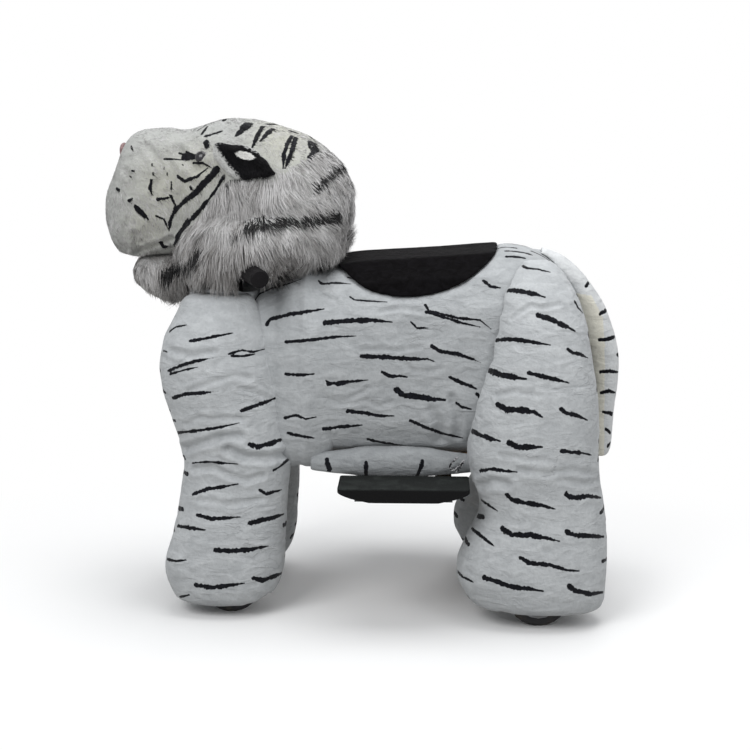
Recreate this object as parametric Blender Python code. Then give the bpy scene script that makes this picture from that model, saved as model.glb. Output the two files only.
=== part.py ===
"""Plush ride-on tiger: a stuffed animal body over a steel frame with four wheels and an electric drive.

The animal faces -X, its left side is -Y, and the floor is z = 0. Lengths are in metres.
"""

import math

import bmesh
import bpy
from mathutils import Matrix, Vector

# Driving sizes of the running gear
GAP = 0.0003
SOFT_GAP = 0.0006
OVERRUN = 0.02
WHEEL_RADIUS = 0.055
TYRE_THICKNESS = 0.015
TYRE_WIDTH = 0.036
TYRE_SHOULDER = 0.005
HUB_WIDTH = 0.040
HUB_BOSS_RADIUS = 0.016
HUB_WEB = 0.008
HUB_RIM = 0.004
AXLE_RADIUS = 0.0075
AXLE_CLEARANCE = 0.0004
FRONT_AXLE_X = -0.245
REAR_AXLE_X = 0.315
FRONT_TRACK = 0.26
REAR_TRACK = 0.38
WHEEL_SIDES = 28
HUB_SIDES = 18
ROUND_SIDES = 18
ARCH_SIDES = 24
BOLT_SIDES = 12

# Frame
BEAM_BOTTOM = 0.250
BEAM_HEIGHT = 0.035
BEAM_WIDTH = 0.040
TUBE_WALL = 0.003
HEAD_TUBE_RADIUS = 0.024
HEAD_TUBE_BOTTOM = 0.205
HEAD_TUBE_TOP = 0.312
BEARING_WALL = 0.004
BEARING_FLANGE = 0.004
BEARING_SEAT = 0.020
COLUMN_RADIUS = 0.013
COLUMN_WALL = 0.0025
COLUMN_BOTTOM = 0.185
CROWN_SIZE = 0.030
CROWN_OVERHANG = 0.016
POST_RADIUS = 0.016
FORK_PLATE = 0.004
FORK_DEPTH = 0.040
FORK_INNER_WIDTH = 0.046
FORK_CLEARANCE = 0.008
AXLE_HEAD_RADIUS = 0.011
AXLE_HEAD_LENGTH = 0.005
AXLE_TAIL_LENGTH = 0.007
REAR_PLATE_Y = 0.125
REAR_PLATE_THICKNESS = 0.006
REAR_PLATE_WIDTH = 0.050
REAR_BEARING_RADIUS = 0.016
REAR_BEARING_WIDTH = 0.014
AXLE_END = 0.003

# Boards, battery and drive
BASE_THICKNESS = 0.012
BASE_FRONT = -0.080
BASE_BACK = 0.300
BASE_HALF_WIDTH = 0.124
SEAT_BAR = 0.025
SEAT_FRONT_X = -0.015
SEAT_BACK_X = 0.200
SEAT_HALF_WIDTH = 0.085
SEAT_BOARD_SINK = 0.026
SEAT_BOARD_THICKNESS = 0.015
SEAT_BOARD_OVERHANG = 0.020
BATTERY_LENGTH = 0.151
BATTERY_WIDTH = 0.098
BATTERY_HEIGHT = 0.095
BATTERY_LID = 0.018
BATTERY_LID_STEP = 0.003
TERMINAL_SIZE = 0.012
TERMINAL_HEIGHT = 0.006
STRAP_WIDTH = 0.025
STRAP_THICKNESS = 0.003
CONTROLLER_LENGTH = 0.060
CONTROLLER_WIDTH = 0.080
CONTROLLER_HEIGHT = 0.034
CONTROLLER_FIN = 0.004
CONTROLLER_FINS = 5
CONTROLLER_BACK_MARGIN = 0.010
TOOTH_MODULE = 0.0015
GEAR_TEETH = 48
PINION_TEETH = 12
GEAR_WIDTH = 0.012
PINION_WIDTH = 0.014
GEAR_Y = 0.051
GEAR_HUB_RADIUS = 0.015
GEAR_HUB_LENGTH = 0.006
GEAR_BACKLASH = 0.0003
TOOTH_TIP_MODULES = 0.9
TOOTH_ROOT_MODULES = 1.2
HALF_ROOT_SHARE = 0.27
HALF_TIP_SHARE = 0.11
DRIVE_LIFT_ANGLE = math.radians(62)
SHAFT_RADIUS = 0.005
GEARBOX_RADIUS = 0.030
GEARBOX_LENGTH = 0.030
MOTOR_RADIUS = 0.026
MOTOR_LENGTH = 0.070
MOTOR_CAP_RADIUS = 0.010
MOTOR_CAP_LENGTH = 0.008
MOTOR_PLATE_THICKNESS = 0.005
MOTOR_PLATE_FRONT_MARGIN = 0.012
FOOT_BAR_HEIGHT = 0.009
FOOT_BAR_WIDTH = 0.030
FOOT_BAR_INSET = 0.045
FOOT_FRONT = -0.042
FOOT_BACK = 0.189
FOOT_OUTER = 0.268
FOOT_INNER = 0.166
FOOT_TOP = 0.266
FOOT_THICKNESS = 0.0240
FOOT_EDGE = 0.006
FOOT_SKIRT = 0.007
FOOT_CORNER = 0.014
BOW_FLAT_SHARE = 0.45
BOW_POWER = 1.5
BOW_STEPS = 8
CORNER_STEPS = 4

# Handlebar and throttle
BAR_Z = 0.634
BAR_X = -0.240
BAR_RADIUS = 0.011
BAR_SIDES = 12
BAR_STRAIGHT = 0.055
BAR_END_X = -0.178
BAR_END_Y = 0.212
BAR_END_Z = 0.626
CLAMP_RADIUS = 0.019
CLAMP_WIDTH = 0.034
CLAMP_HEIGHT = 0.040
GRIP_RADIUS = 0.0165
GRIP_LENGTH = 0.085
GRIP_CAP = 0.005
GRIP_FLANGE = 0.003
HOUSING_LENGTH = 0.014
HOUSING_RADIUS = 0.018
LEVER_LENGTH = 0.008
LEVER_REACH = 0.034
LEVER_THICKNESS = 0.006
LEVER_SIDES = 16
PADDLE_SIDES = 8
MOUNT_PLATE_Z = 0.698
MOUNT_PLATE_THICKNESS = 0.006
MOUNT_PLATE_DEPTH = 0.070
MOUNT_PLATE_WIDTH = 0.090

# Stuffed forms: the overall sizes that their section tables share out
RING_SIDES = 16
LEG_SIDES = 16
BACK_POWER = 2.4
BELLY_POWER = 4.5
HEAD_POWER = 2.2
LEG_POWER = 2.3
TORSO_FRONT = -0.135
TORSO_BACK = 0.415
TORSO_BOTTOM = 0.2982
TORSO_TOP = 0.669
TORSO_HALF_WIDTH = 0.172
SADDLE_PROUD = 0.003
SADDLE_DEPTH = 0.016
SADDLE_FRONT = -0.072
SADDLE_BACK = 0.247
SADDLE_DROP = 0.068
SADDLE_EDGE_Z = 0.654
BAY_CLEARANCE = 0.004
FRONT_LEG_BOTTOM = 0.019
FRONT_LEG_TOP = 0.583
FRONT_LEG_HALF_DEPTH = 0.1135
FRONT_LEG_HALF_WIDTH = 0.076
REAR_LEG_BOTTOM = 0.027
REAR_LEG_TOP = 0.648
REAR_LEG_HALF_DEPTH = 0.136
REAR_LEG_HALF_WIDTH = 0.087
STEERING_ANGLE = math.radians(18)
STEERING_CLEARANCE = 0.004
SWEEP_SHARES = (0.5, 1)
NECK_RADIUS = 0.160
WELL_CLEARANCE = 0.012
WELL_SIDE_CLEARANCE = 0.010
ROLL_RADIUS = 0.024
ROLL_BACK = 0.192
ROLL_END_SHARE = 0.55
ROLL_SWELL_POWER = 0.35
ROLL_STATIONS = 8
TAIL_RADIUS = 0.0245
TAIL_SIDES = 10
TAIL_TOP = 0.640
TAIL_BOTTOM = 0.268
TAIL_ROOT_X = 0.315
TAIL_REACH_X = 0.448
HEAD_FRONT = -0.366
HEAD_BACK = -0.028
HEAD_BOTTOM = 0.640
HEAD_TOP = 0.897
HEAD_HALF_WIDTH = 0.145
RUFF_FRONT = -0.345
RUFF_BACK = -0.040
RUFF_BOTTOM = 0.572
RUFF_TOP = 0.760
RUFF_HALF_WIDTH = 0.168
MUZZLE_FRONT = -0.480
MUZZLE_BACK = -0.335
MUZZLE_BOTTOM = 0.642
MUZZLE_TOP = 0.884
MUZZLE_HALF_WIDTH = 0.085
JAW_FRONT = -0.430
JAW_BACK = -0.330
JAW_BOTTOM = 0.563
JAW_TOP = 0.650
JAW_HALF_WIDTH = 0.068
CHEST_ABOVE_CROWN = 0.0154
CHEST_TOP = 0.605
CHEST_HALF_DEPTH = 0.101
CHEST_HALF_WIDTH = 0.105
CHANNEL_HALF_DEPTH = 0.046
CHANNEL_HALF_WIDTH = 0.132
CHANNEL_TOP = 0.664
EAR_HALF_LENGTH = 0.058
EAR_HALF_HEIGHT = 0.030
EAR_HALF_THICKNESS = 0.017
EAR_TILT = math.radians(23)
EAR_POINT_POWER = 1.3
EAR_CUP_SHARE = 0.76
EYE_RADIUS = 0.0105
EAR_RINGS = 7
EYE_RINGS = 8
EGG_SIDES = 12

# Section tables. A lying form's rows: how far back, top and bottom of the height, half width.
TORSO_SHARES = (
    (0.00, 0.745, 0.00, 0.95),
    (0.07, 0.840, 0.00, 0.98),
    (0.16, 0.914, 0.00, 1.00),
    (0.25, 0.943, 0.00, 1.00),
    (0.40, 0.965, 0.00, 1.00),
    (0.55, 0.984, 0.00, 1.00),
    (0.70, 1.000, 0.00, 1.00),
    (0.79, 0.984, 0.00, 0.97),
    (0.87, 0.917, 0.00, 0.91),
    (0.94, 0.780, 0.03, 0.78),
    (0.98, 0.600, 0.13, 0.55),
    (1.00, 0.450, 0.27, 0.25),
)
HEAD_SHARES = (
    (0.00, 0.83, 0.24, 0.38),
    (0.06, 0.91, 0.14, 0.58),
    (0.15, 0.935, 0.06, 0.74),
    (0.26, 0.98, 0.02, 0.87),
    (0.36, 1.00, 0.00, 0.93),
    (0.48, 0.99, 0.00, 0.98),
    (0.60, 0.955, 0.00, 1.00),
    (0.76, 0.88, 0.02, 0.99),
    (0.86, 0.79, 0.06, 0.91),
    (0.95, 0.65, 0.14, 0.72),
    (1.00, 0.50, 0.28, 0.38),
)
RUFF_SHARES = (
    (0.00, 0.80, 0.15, 0.42),
    (0.10, 0.95, 0.04, 0.69),
    (0.25, 1.00, 0.00, 0.89),
    (0.41, 1.00, 0.02, 0.99),
    (0.57, 1.00, 0.14, 1.00),
    (0.74, 0.97, 0.27, 0.94),
    (0.87, 0.92, 0.35, 0.80),
    (0.97, 0.84, 0.47, 0.54),
    (1.00, 0.74, 0.57, 0.30),
)
MUZZLE_SHARES = (
    (0.00, 0.43, 0.28, 0.35),
    (0.03, 0.53, 0.18, 0.56),
    (0.09, 0.62, 0.08, 0.70),
    (0.16, 0.73, 0.03, 0.76),
    (0.24, 0.86, 0.01, 0.81),
    (0.38, 0.955, 0.00, 0.87),
    (0.66, 0.985, 0.00, 0.94),
    (0.90, 0.985, 0.01, 0.98),
    (1.00, 0.95, 0.03, 1.00),
)
JAW_SHARES = (
    (0.00, 0.77, 0.42, 0.44),
    (0.09, 0.89, 0.28, 0.66),
    (0.33, 0.95, 0.10, 0.86),
    (0.66, 0.98, 0.00, 0.97),
    (1.00, 1.00, 0.10, 1.00),
)
# A standing form's rows: height, centre forward or back, half depth, centre of the track, half width.
FRONT_LEG_SHARES = (
    (0.000, -0.11, 0.59, 1.00, 0.63),
    (0.018, -0.14, 0.78, 1.00, 0.84),
    (0.068, -0.12, 0.92, 1.00, 0.96),
    (0.137, -0.12, 1.00, 1.00, 1.00),
    (0.242, -0.08, 0.985, 1.00, 0.97),
    (0.371, 0.05, 0.89, 0.98, 0.92),
    (0.440, 0.12, 0.865, 0.975, 0.91),
    (0.503, 0.125, 0.87, 0.97, 0.92),
    (0.569, 0.04, 0.90, 0.96, 0.95),
    (0.699, -0.11, 0.97, 0.94, 1.00),
    (0.779, -0.17, 0.955, 0.92, 1.00),
    (0.867, -0.185, 0.865, 0.88, 0.95),
    (0.933, -0.16, 0.72, 0.83, 0.83),
    (1.000, -0.18, 0.53, 0.77, 0.53),
)
REAR_LEG_SHARES = (
    (0.000, 0.06, 0.75, 0.895, 0.71),
    (0.021, -0.01, 0.91, 0.895, 0.90),
    (0.090, -0.08, 1.00, 0.895, 1.00),
    (0.145, -0.08, 1.00, 0.895, 1.00),
    (0.205, -0.03, 0.94, 0.885, 0.97),
    (0.280, 0.04, 0.84, 0.87, 0.94),
    (0.325, 0.03, 0.82, 0.87, 0.94),
    (0.383, -0.055, 0.855, 0.87, 0.97),
    (0.457, -0.10, 0.87, 0.87, 0.99),
    (0.525, -0.075, 0.85, 0.86, 1.00),
    (0.622, -0.04, 0.795, 0.84, 0.99),
    (0.725, -0.01, 0.69, 0.80, 0.94),
    (0.826, -0.01, 0.61, 0.735, 0.85),
    (0.907, -0.04, 0.51, 0.66, 0.69),
    (0.971, -0.05, 0.34, 0.55, 0.52),
    (1.000, -0.04, 0.18, 0.50, 0.23),
)
CHEST_SHARES = (
    (0.00, -0.05, 0.74, 0.48),
    (0.16, -0.11, 0.95, 0.62),
    (0.40, -0.14, 1.00, 0.81),
    (0.65, -0.15, 0.91, 0.95),
    (0.84, -0.14, 0.78, 1.00),
    (1.00, -0.15, 0.69, 1.00),
)
# Places on the head: how far back, how far out and how high
EAR_PLACE_SHARES = (0.4556, 0.924, 0.7004)
EYE_PLACE_SHARES = (0.2219, 0.6966, 0.716)
# The tail's centre line: how far back from its root, how high, and its thickness there
TAIL_SHARES = (
    (0.00, 1.00, 1.00),
    (0.26, 0.965, 1.00),
    (0.52, 0.885, 1.00),
    (0.74, 0.775, 1.00),
    (0.89, 0.665, 1.00),
    (0.98, 0.555, 1.00),
    (1.00, 0.460, 1.00),
    (0.975, 0.300, 0.98),
    (0.955, 0.140, 0.90),
    (0.950, 0.040, 0.78),
    (0.950, 0.000, 0.45),
)
# The saddle's lower edge seen from the side: how far back, and how much of the drop
SADDLE_EDGE_SHARES = (
    (0.00, 0.00),
    (0.07, 0.28),
    (0.16, 0.60),
    (0.27, 0.88),
    (0.44, 1.00),
    (0.60, 0.94),
    (0.77, 0.67),
    (0.93, 0.12),
    (1.00, -0.28),
)
TABLE_STEPS = 2
LEG_STEPS = 1

# Derived places
FRONT_WHEEL_Y = FRONT_TRACK / 2
REAR_WHEEL_Y = REAR_TRACK / 2
BEAM_TOP = BEAM_BOTTOM + BEAM_HEIGHT
CROWN_BOTTOM = HEAD_TUBE_TOP + BEARING_FLANGE + 2 * GAP
CROWN_TOP = CROWN_BOTTOM + CROWN_SIZE
CHEST_BOTTOM = CROWN_TOP + CHEST_ABOVE_CROWN
SEAT_BOARD_TOP = SADDLE_EDGE_Z - SADDLE_DROP - SEAT_BOARD_SINK
SEAT_BOARD_BOTTOM = SEAT_BOARD_TOP - SEAT_BOARD_THICKNESS
BASE_BOTTOM = BEAM_TOP + GAP
BASE_TOP = BASE_BOTTOM + BASE_THICKNESS
FORK_TOP = 2 * WHEEL_RADIUS + FORK_CLEARANCE + FORK_PLATE
STEERING_AXIS = Vector((FRONT_AXLE_X, 0, 0))
REAR_AXIS = Vector((REAR_AXLE_X, 0, WHEEL_RADIUS))
GEAR_DISTANCE = TOOTH_MODULE * (GEAR_TEETH + PINION_TEETH) / 2 + GEAR_BACKLASH
PINION_AXIS = REAR_AXIS + Vector(
    (-GEAR_DISTANCE * math.cos(DRIVE_LIFT_ANGLE), 0, GEAR_DISTANCE * math.sin(DRIVE_LIFT_ANGLE))
)
FOOT_BOTTOM = FOOT_TOP - FOOT_THICKNESS
ROLL_Y = BASE_HALF_WIDTH + ROLL_RADIUS + GAP
SIDES = (("left", -1), ("right", 1))


def clear_scene():
    for thing in list(bpy.data.objects):
        bpy.data.objects.remove(thing, do_unlink=True)


def make_material(name, colour, roughness, metallic=0):
    material = bpy.data.materials.new(name)
    material.use_nodes = True
    shader = material.node_tree.nodes["Principled BSDF"]
    shader.inputs["Base Color"].default_value = (*colour, 1)
    shader.inputs["Roughness"].default_value = roughness
    shader.inputs["Metallic"].default_value = metallic
    return material


def make_pivot(name, place):
    """An empty on a joint's axis, which carries the pieces that turn about it."""
    pivot = bpy.data.objects.new(name, None)
    pivot.location = place
    bpy.context.collection.objects.link(pivot)
    return pivot


def add_piece(name, mesh_data, material=None, pivot=None):
    """Makes an object from (points, faces) in world places, with its origin at its pivot."""
    points, faces = mesh_data
    origin = pivot.location if pivot else Vector()
    mesh = bpy.data.meshes.new(name)
    mesh.from_pydata([tuple(Vector(point) - origin) for point in points], [], faces)
    builder = bmesh.new()
    builder.from_mesh(mesh)
    bmesh.ops.recalc_face_normals(builder, faces=builder.faces)
    if builder.calc_volume(signed=True) < 0:
        bmesh.ops.reverse_faces(builder, faces=builder.faces)
    builder.to_mesh(mesh)
    builder.free()
    mesh.shade_smooth()
    mesh.set_sharp_from_angle(angle=math.radians(35))
    piece = bpy.data.objects.new(name, mesh)
    bpy.context.collection.objects.link(piece)
    if pivot:
        piece.parent = pivot
    if material:
        mesh.materials.append(material)
    return piece


def add_cutter(name, mesh_data):
    cutter = add_piece(name, mesh_data)
    cutter.hide_render = True
    cutter.display_type = "WIRE"
    return cutter


def combine(piece, other, operation="DIFFERENCE"):
    modifier = piece.modifiers.new(other.name, "BOOLEAN")
    modifier.operation = operation
    modifier.object = other
    modifier.solver = "EXACT"


def box(low, high):
    """Points and faces of a box between two corners."""
    points = [(x, y, z) for x in (low[0], high[0]) for y in (low[1], high[1]) for z in (low[2], high[2])]
    faces = [(0, 1, 3, 2), (4, 6, 7, 5), (0, 4, 5, 1), (2, 3, 7, 6), (0, 2, 6, 4), (1, 5, 7, 3)]
    return points, faces


def mirrored_box(side, low, high):
    """A box given for the right side, y positive, put on the side asked for."""
    near, far = sorted((side * low[1], side * high[1]))
    return box((low[0], near, low[2]), (high[0], far, high[2]))


def skin_rings(rings, closed_loop=False):
    """Joins rings of equal length into a closed body, with flat ends unless the rings close on themselves."""
    count = len(rings[0])
    points = [point for ring in rings for point in ring]
    faces = []
    spans = len(rings) if closed_loop else len(rings) - 1
    for i in range(spans):
        here, there = i * count, (i + 1) % len(rings) * count
        for j in range(count):
            k = (j + 1) % count
            faces.append((here + j, here + k, there + k, there + j))
    if not closed_loop:
        faces.append(tuple(reversed(range(count))))
        faces.append(tuple(range(len(points) - count, len(points))))
    return points, faces


def axis_frame(direction):
    """Two directions square to an axis and to each other."""
    direction = Vector(direction).normalized()
    helper = Vector((0, 0, 1)) if abs(direction.z) < abs(direction.x) + abs(direction.y) else Vector((1, 0, 0))
    first = direction.cross(helper).normalized()
    return first, direction.cross(first).normalized()


def turned(profile, place, direction, sides=ROUND_SIDES, bored=False):
    """A body turned about an axis. The profile lists (radius, place along the axis). A bored one is a ring."""
    place, direction = Vector(place), Vector(direction).normalized()
    first, second = axis_frame(direction)
    rings = []
    for radius, along in profile:
        ring = []
        for i in range(sides):
            # The half step puts a flat side, not a corner, at the lowest place of a wheel.
            angle = 2 * math.pi * (i + 0.5) / sides
            offset = first * math.cos(angle) + second * math.sin(angle)
            ring.append(place + direction * along + offset * radius)
        rings.append(ring)
    return skin_rings(rings, closed_loop=bored)


def across_flats(radius, sides):
    """The corner radius of a many-sided round whose flats lie at the radius given."""
    return radius / math.cos(math.pi / sides)


def tube(radius, wall, start, end, sides=ROUND_SIDES):
    length = (Vector(end) - Vector(start)).length
    profile = [(radius, 0), (radius, length), (radius - wall, length), (radius - wall, 0)]
    return turned(profile, start, Vector(end) - Vector(start), sides, bored=True)


def rod(radius, start, end, sides=ROUND_SIDES):
    length = (Vector(end) - Vector(start)).length
    return turned([(radius, 0), (radius, length)], start, Vector(end) - Vector(start), sides)


def refine(rows, steps=TABLE_STEPS):
    """Rows of a table with smooth rows put between them, by Catmull-Rom curves."""
    result = []
    for i in range(len(rows) - 1):
        before, here = rows[max(i - 1, 0)], rows[i]
        there, after = rows[i + 1], rows[min(i + 2, len(rows) - 1)]
        for step in range(steps):
            t = step / steps
            result.append(
                tuple(
                    0.5 * (2 * b + (c - a) * t + (2 * a - 5 * b + 4 * c - d) * t**2 + (3 * b - a - 3 * c + d) * t**3)
                    for a, b, c, d in zip(before, here, there, after)
                )
            )
    result.append(rows[-1])
    return result


def rounded(angle, power):
    """Sideways and upward parts of a point on a squared-off circle."""
    side, up = math.cos(angle), math.sin(angle)
    return (
        math.copysign(abs(side) ** (2 / power), side),
        math.copysign(abs(up) ** (2 / power), up),
    )


def lying_form(rows, front, back, bottom, top, half_width, up_power, down_power=None, grow=0, sides=RING_SIDES):
    """A stuffed form whose sections stand across its length. Growing it makes a cutter with a clearance."""
    down_power = down_power or up_power
    rings = []
    table = refine(rows)
    for number, (along, high, low, wide) in enumerate(table):
        x = front + (back - front) * along
        x += grow * {0: -1, len(table) - 1: 1}.get(number, 0)
        ceiling = bottom + (top - bottom) * high + grow
        floor = bottom + (top - bottom) * low - grow
        middle, rise = (ceiling + floor) / 2, (ceiling - floor) / 2
        ring = []
        for i in range(sides):
            angle = 2 * math.pi * i / sides
            side, up = rounded(angle, up_power if math.sin(angle) >= 0 else down_power)
            ring.append((x, side * (half_width * wide + grow), middle + up * rise))
        rings.append(ring)
    return skin_rings(rings)


def standing_form(rows, axis_x, half_depth, bottom, top, track_y, half_width, power, grow=0, sides=LEG_SIDES):
    """A stuffed form whose sections lie flat, such as a leg: rows of height, centre, depth, track and width."""
    rings = []
    table = refine(rows, LEG_STEPS)
    for number, (height, centre, deep, track, wide) in enumerate(table):
        z = bottom + (top - bottom) * height
        z += grow * {0: -1, len(table) - 1: 1}.get(number, 0)
        middle = axis_x + centre * half_depth
        ring = []
        for i in range(sides):
            ahead, side = rounded(2 * math.pi * i / sides, power)
            ring.append(
                (
                    middle + ahead * (half_depth * deep + grow),
                    track_y * track + side * (half_width * wide + grow),
                    z,
                )
            )
        rings.append(ring)
    return skin_rings(rings)


def swept(centres, radii, sides):
    """A round bar of changing thickness along a line of points."""
    centres = [Vector(centre) for centre in centres]
    rings = []
    for i, (centre, radius) in enumerate(zip(centres, radii)):
        before, after = centres[max(i - 1, 0)], centres[min(i + 1, len(centres) - 1)]
        first, second = axis_frame(after - before)
        ring = []
        for j in range(sides):
            angle = 2 * math.pi * j / sides
            ring.append(centre + first * math.cos(angle) * radius + second * math.sin(angle) * radius)
        rings.append(ring)
    return skin_rings(rings)


def torso_form(grow=0):
    return lying_form(
        TORSO_SHARES, TORSO_FRONT, TORSO_BACK, TORSO_BOTTOM, TORSO_TOP, TORSO_HALF_WIDTH,
        BACK_POWER, BELLY_POWER, grow,
    )


def head_form(grow=0):
    return lying_form(
        HEAD_SHARES, HEAD_FRONT, HEAD_BACK, HEAD_BOTTOM, HEAD_TOP, HEAD_HALF_WIDTH, HEAD_POWER, grow=grow
    )


def ruff_form(grow=0):
    return lying_form(
        RUFF_SHARES, RUFF_FRONT, RUFF_BACK, RUFF_BOTTOM, RUFF_TOP, RUFF_HALF_WIDTH, HEAD_POWER, grow=grow
    )


def muzzle_form(grow=0):
    return lying_form(
        MUZZLE_SHARES, MUZZLE_FRONT, MUZZLE_BACK, MUZZLE_BOTTOM, MUZZLE_TOP, MUZZLE_HALF_WIDTH,
        HEAD_POWER, grow=grow,
    )


def jaw_form(grow=0):
    return lying_form(
        JAW_SHARES, JAW_FRONT, JAW_BACK, JAW_BOTTOM, JAW_TOP, JAW_HALF_WIDTH, HEAD_POWER, grow=grow
    )


def front_leg_form(side, grow=0):
    return standing_form(
        FRONT_LEG_SHARES, FRONT_AXLE_X, FRONT_LEG_HALF_DEPTH, FRONT_LEG_BOTTOM, FRONT_LEG_TOP,
        side * FRONT_WHEEL_Y, FRONT_LEG_HALF_WIDTH, LEG_POWER, grow,
    )


def rear_leg_form(side, grow=0):
    return standing_form(
        REAR_LEG_SHARES, REAR_AXLE_X, REAR_LEG_HALF_DEPTH, REAR_LEG_BOTTOM, REAR_LEG_TOP,
        side * REAR_WHEEL_Y, REAR_LEG_HALF_WIDTH, LEG_POWER, grow,
    )


def build_frame(steel):
    """Main beam, steering head, rear frame and the outriggers of the footboards."""
    half = BEAM_WIDTH / 2
    beam_back = REAR_AXLE_X - BEAM_WIDTH / 2 - GAP
    beam = add_piece("main_beam", box((FRONT_AXLE_X, -half, BEAM_BOTTOM), (beam_back, half, BEAM_TOP)), steel)
    bore = add_cutter(
        "beam_bore",
        box(
            (FRONT_AXLE_X - OVERRUN, -half + TUBE_WALL, BEAM_BOTTOM + TUBE_WALL),
            (beam_back + OVERRUN, half - TUBE_WALL, BEAM_TOP - TUBE_WALL),
        ),
    )
    cope = add_cutter(
        "beam_cope",
        rod(
            HEAD_TUBE_RADIUS + GAP,
            (FRONT_AXLE_X, 0, HEAD_TUBE_BOTTOM - OVERRUN),
            (FRONT_AXLE_X, 0, HEAD_TUBE_TOP + OVERRUN),
        ),
    )
    combine(beam, bore)
    combine(beam, cope)

    bush_radius = COLUMN_RADIUS + BEARING_WALL
    head_wall = HEAD_TUBE_RADIUS - bush_radius - GAP
    add_piece(
        "steering_head_tube",
        tube(HEAD_TUBE_RADIUS, head_wall, (FRONT_AXLE_X, 0, HEAD_TUBE_BOTTOM), (FRONT_AXLE_X, 0, HEAD_TUBE_TOP)),
        steel,
    )


def build_bearings(brass):
    """Flanged bushes at both ends of the steering head, and the rear axle's bearings."""
    bush_radius = COLUMN_RADIUS + BEARING_WALL
    bore = COLUMN_RADIUS + AXLE_CLEARANCE
    flange = HEAD_TUBE_RADIUS
    for name, end, outward in (
        ("upper_head_bearing", HEAD_TUBE_TOP, 1),
        ("lower_head_bearing", HEAD_TUBE_BOTTOM, -1),
    ):
        profile = [
            (bush_radius, -BEARING_SEAT),
            (bush_radius, GAP),
            (flange, GAP),
            (flange, BEARING_FLANGE),
            (bore, BEARING_FLANGE),
            (bore, -BEARING_SEAT),
        ]
        add_piece(name, turned(profile, (FRONT_AXLE_X, 0, end), (0, 0, outward), bored=True), brass)

    for label, side in SIDES:
        face = REAR_PLATE_THICKNESS / 2
        profile = [
            (REAR_BEARING_RADIUS, -face),
            (REAR_BEARING_RADIUS, face + GAP),
            (REAR_BEARING_RADIUS + BEARING_FLANGE, face + GAP),
            (REAR_BEARING_RADIUS + BEARING_FLANGE, REAR_BEARING_WIDTH - face),
            (AXLE_RADIUS + AXLE_CLEARANCE, REAR_BEARING_WIDTH - face),
            (AXLE_RADIUS + AXLE_CLEARANCE, -face),
        ]
        place = (REAR_AXLE_X, side * REAR_PLATE_Y, WHEEL_RADIUS)
        add_piece(f"rear_bearing_{label}", turned(profile, place, (0, -side, 0), bored=True), brass)


def build_rear_frame(steel):
    """A cross tube with two axle plates and the plate that the gear motor bolts to, welded into one."""
    half = BEAM_WIDTH / 2
    reach = REAR_PLATE_Y - REAR_PLATE_THICKNESS / 2
    frame = add_piece(
        "rear_frame",
        box((REAR_AXLE_X - half, -reach - GAP, BEAM_BOTTOM), (REAR_AXLE_X + half, reach + GAP, BEAM_TOP)),
        steel,
    )
    for label, side in SIDES:
        plate = add_cutter(
            f"rear_plate_{label}",
            mirrored_box(
                side,
                (REAR_AXLE_X - REAR_PLATE_WIDTH / 2, REAR_PLATE_Y - REAR_PLATE_THICKNESS / 2,
                 WHEEL_RADIUS - REAR_BEARING_RADIUS - BEARING_FLANGE),
                (REAR_AXLE_X + REAR_PLATE_WIDTH / 2, REAR_PLATE_Y + REAR_PLATE_THICKNESS / 2, BEAM_TOP),
            ),
        )
        combine(frame, plate, "UNION")
    plate_y = GEAR_Y - PINION_WIDTH / 2 - AXLE_END - MOTOR_PLATE_THICKNESS
    motor_plate = add_cutter(
        "motor_plate",
        box(
            (PINION_AXIS.x - GEARBOX_RADIUS - MOTOR_PLATE_FRONT_MARGIN, plate_y,
             PINION_AXIS.z - GEARBOX_RADIUS + MOTOR_PLATE_FRONT_MARGIN),
            (REAR_AXLE_X - half + TUBE_WALL, plate_y + MOTOR_PLATE_THICKNESS, BEAM_TOP - TUBE_WALL),
        ),
    )
    combine(frame, motor_plate, "UNION")
    bearing_bore = add_cutter(
        "rear_bearing_bore",
        rod(
            REAR_BEARING_RADIUS + GAP,
            (REAR_AXLE_X, -REAR_WHEEL_Y, WHEEL_RADIUS),
            (REAR_AXLE_X, REAR_WHEEL_Y, WHEEL_RADIUS),
        ),
    )
    combine(frame, bearing_bore)
    shaft_bore = add_cutter(
        "motor_shaft_bore",
        rod(
            SHAFT_RADIUS + 2 * AXLE_CLEARANCE,
            PINION_AXIS + Vector((0, plate_y - OVERRUN, 0)),
            PINION_AXIS + Vector((0, plate_y + OVERRUN, 0)),
        ),
    )
    combine(frame, shaft_bore)


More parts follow.
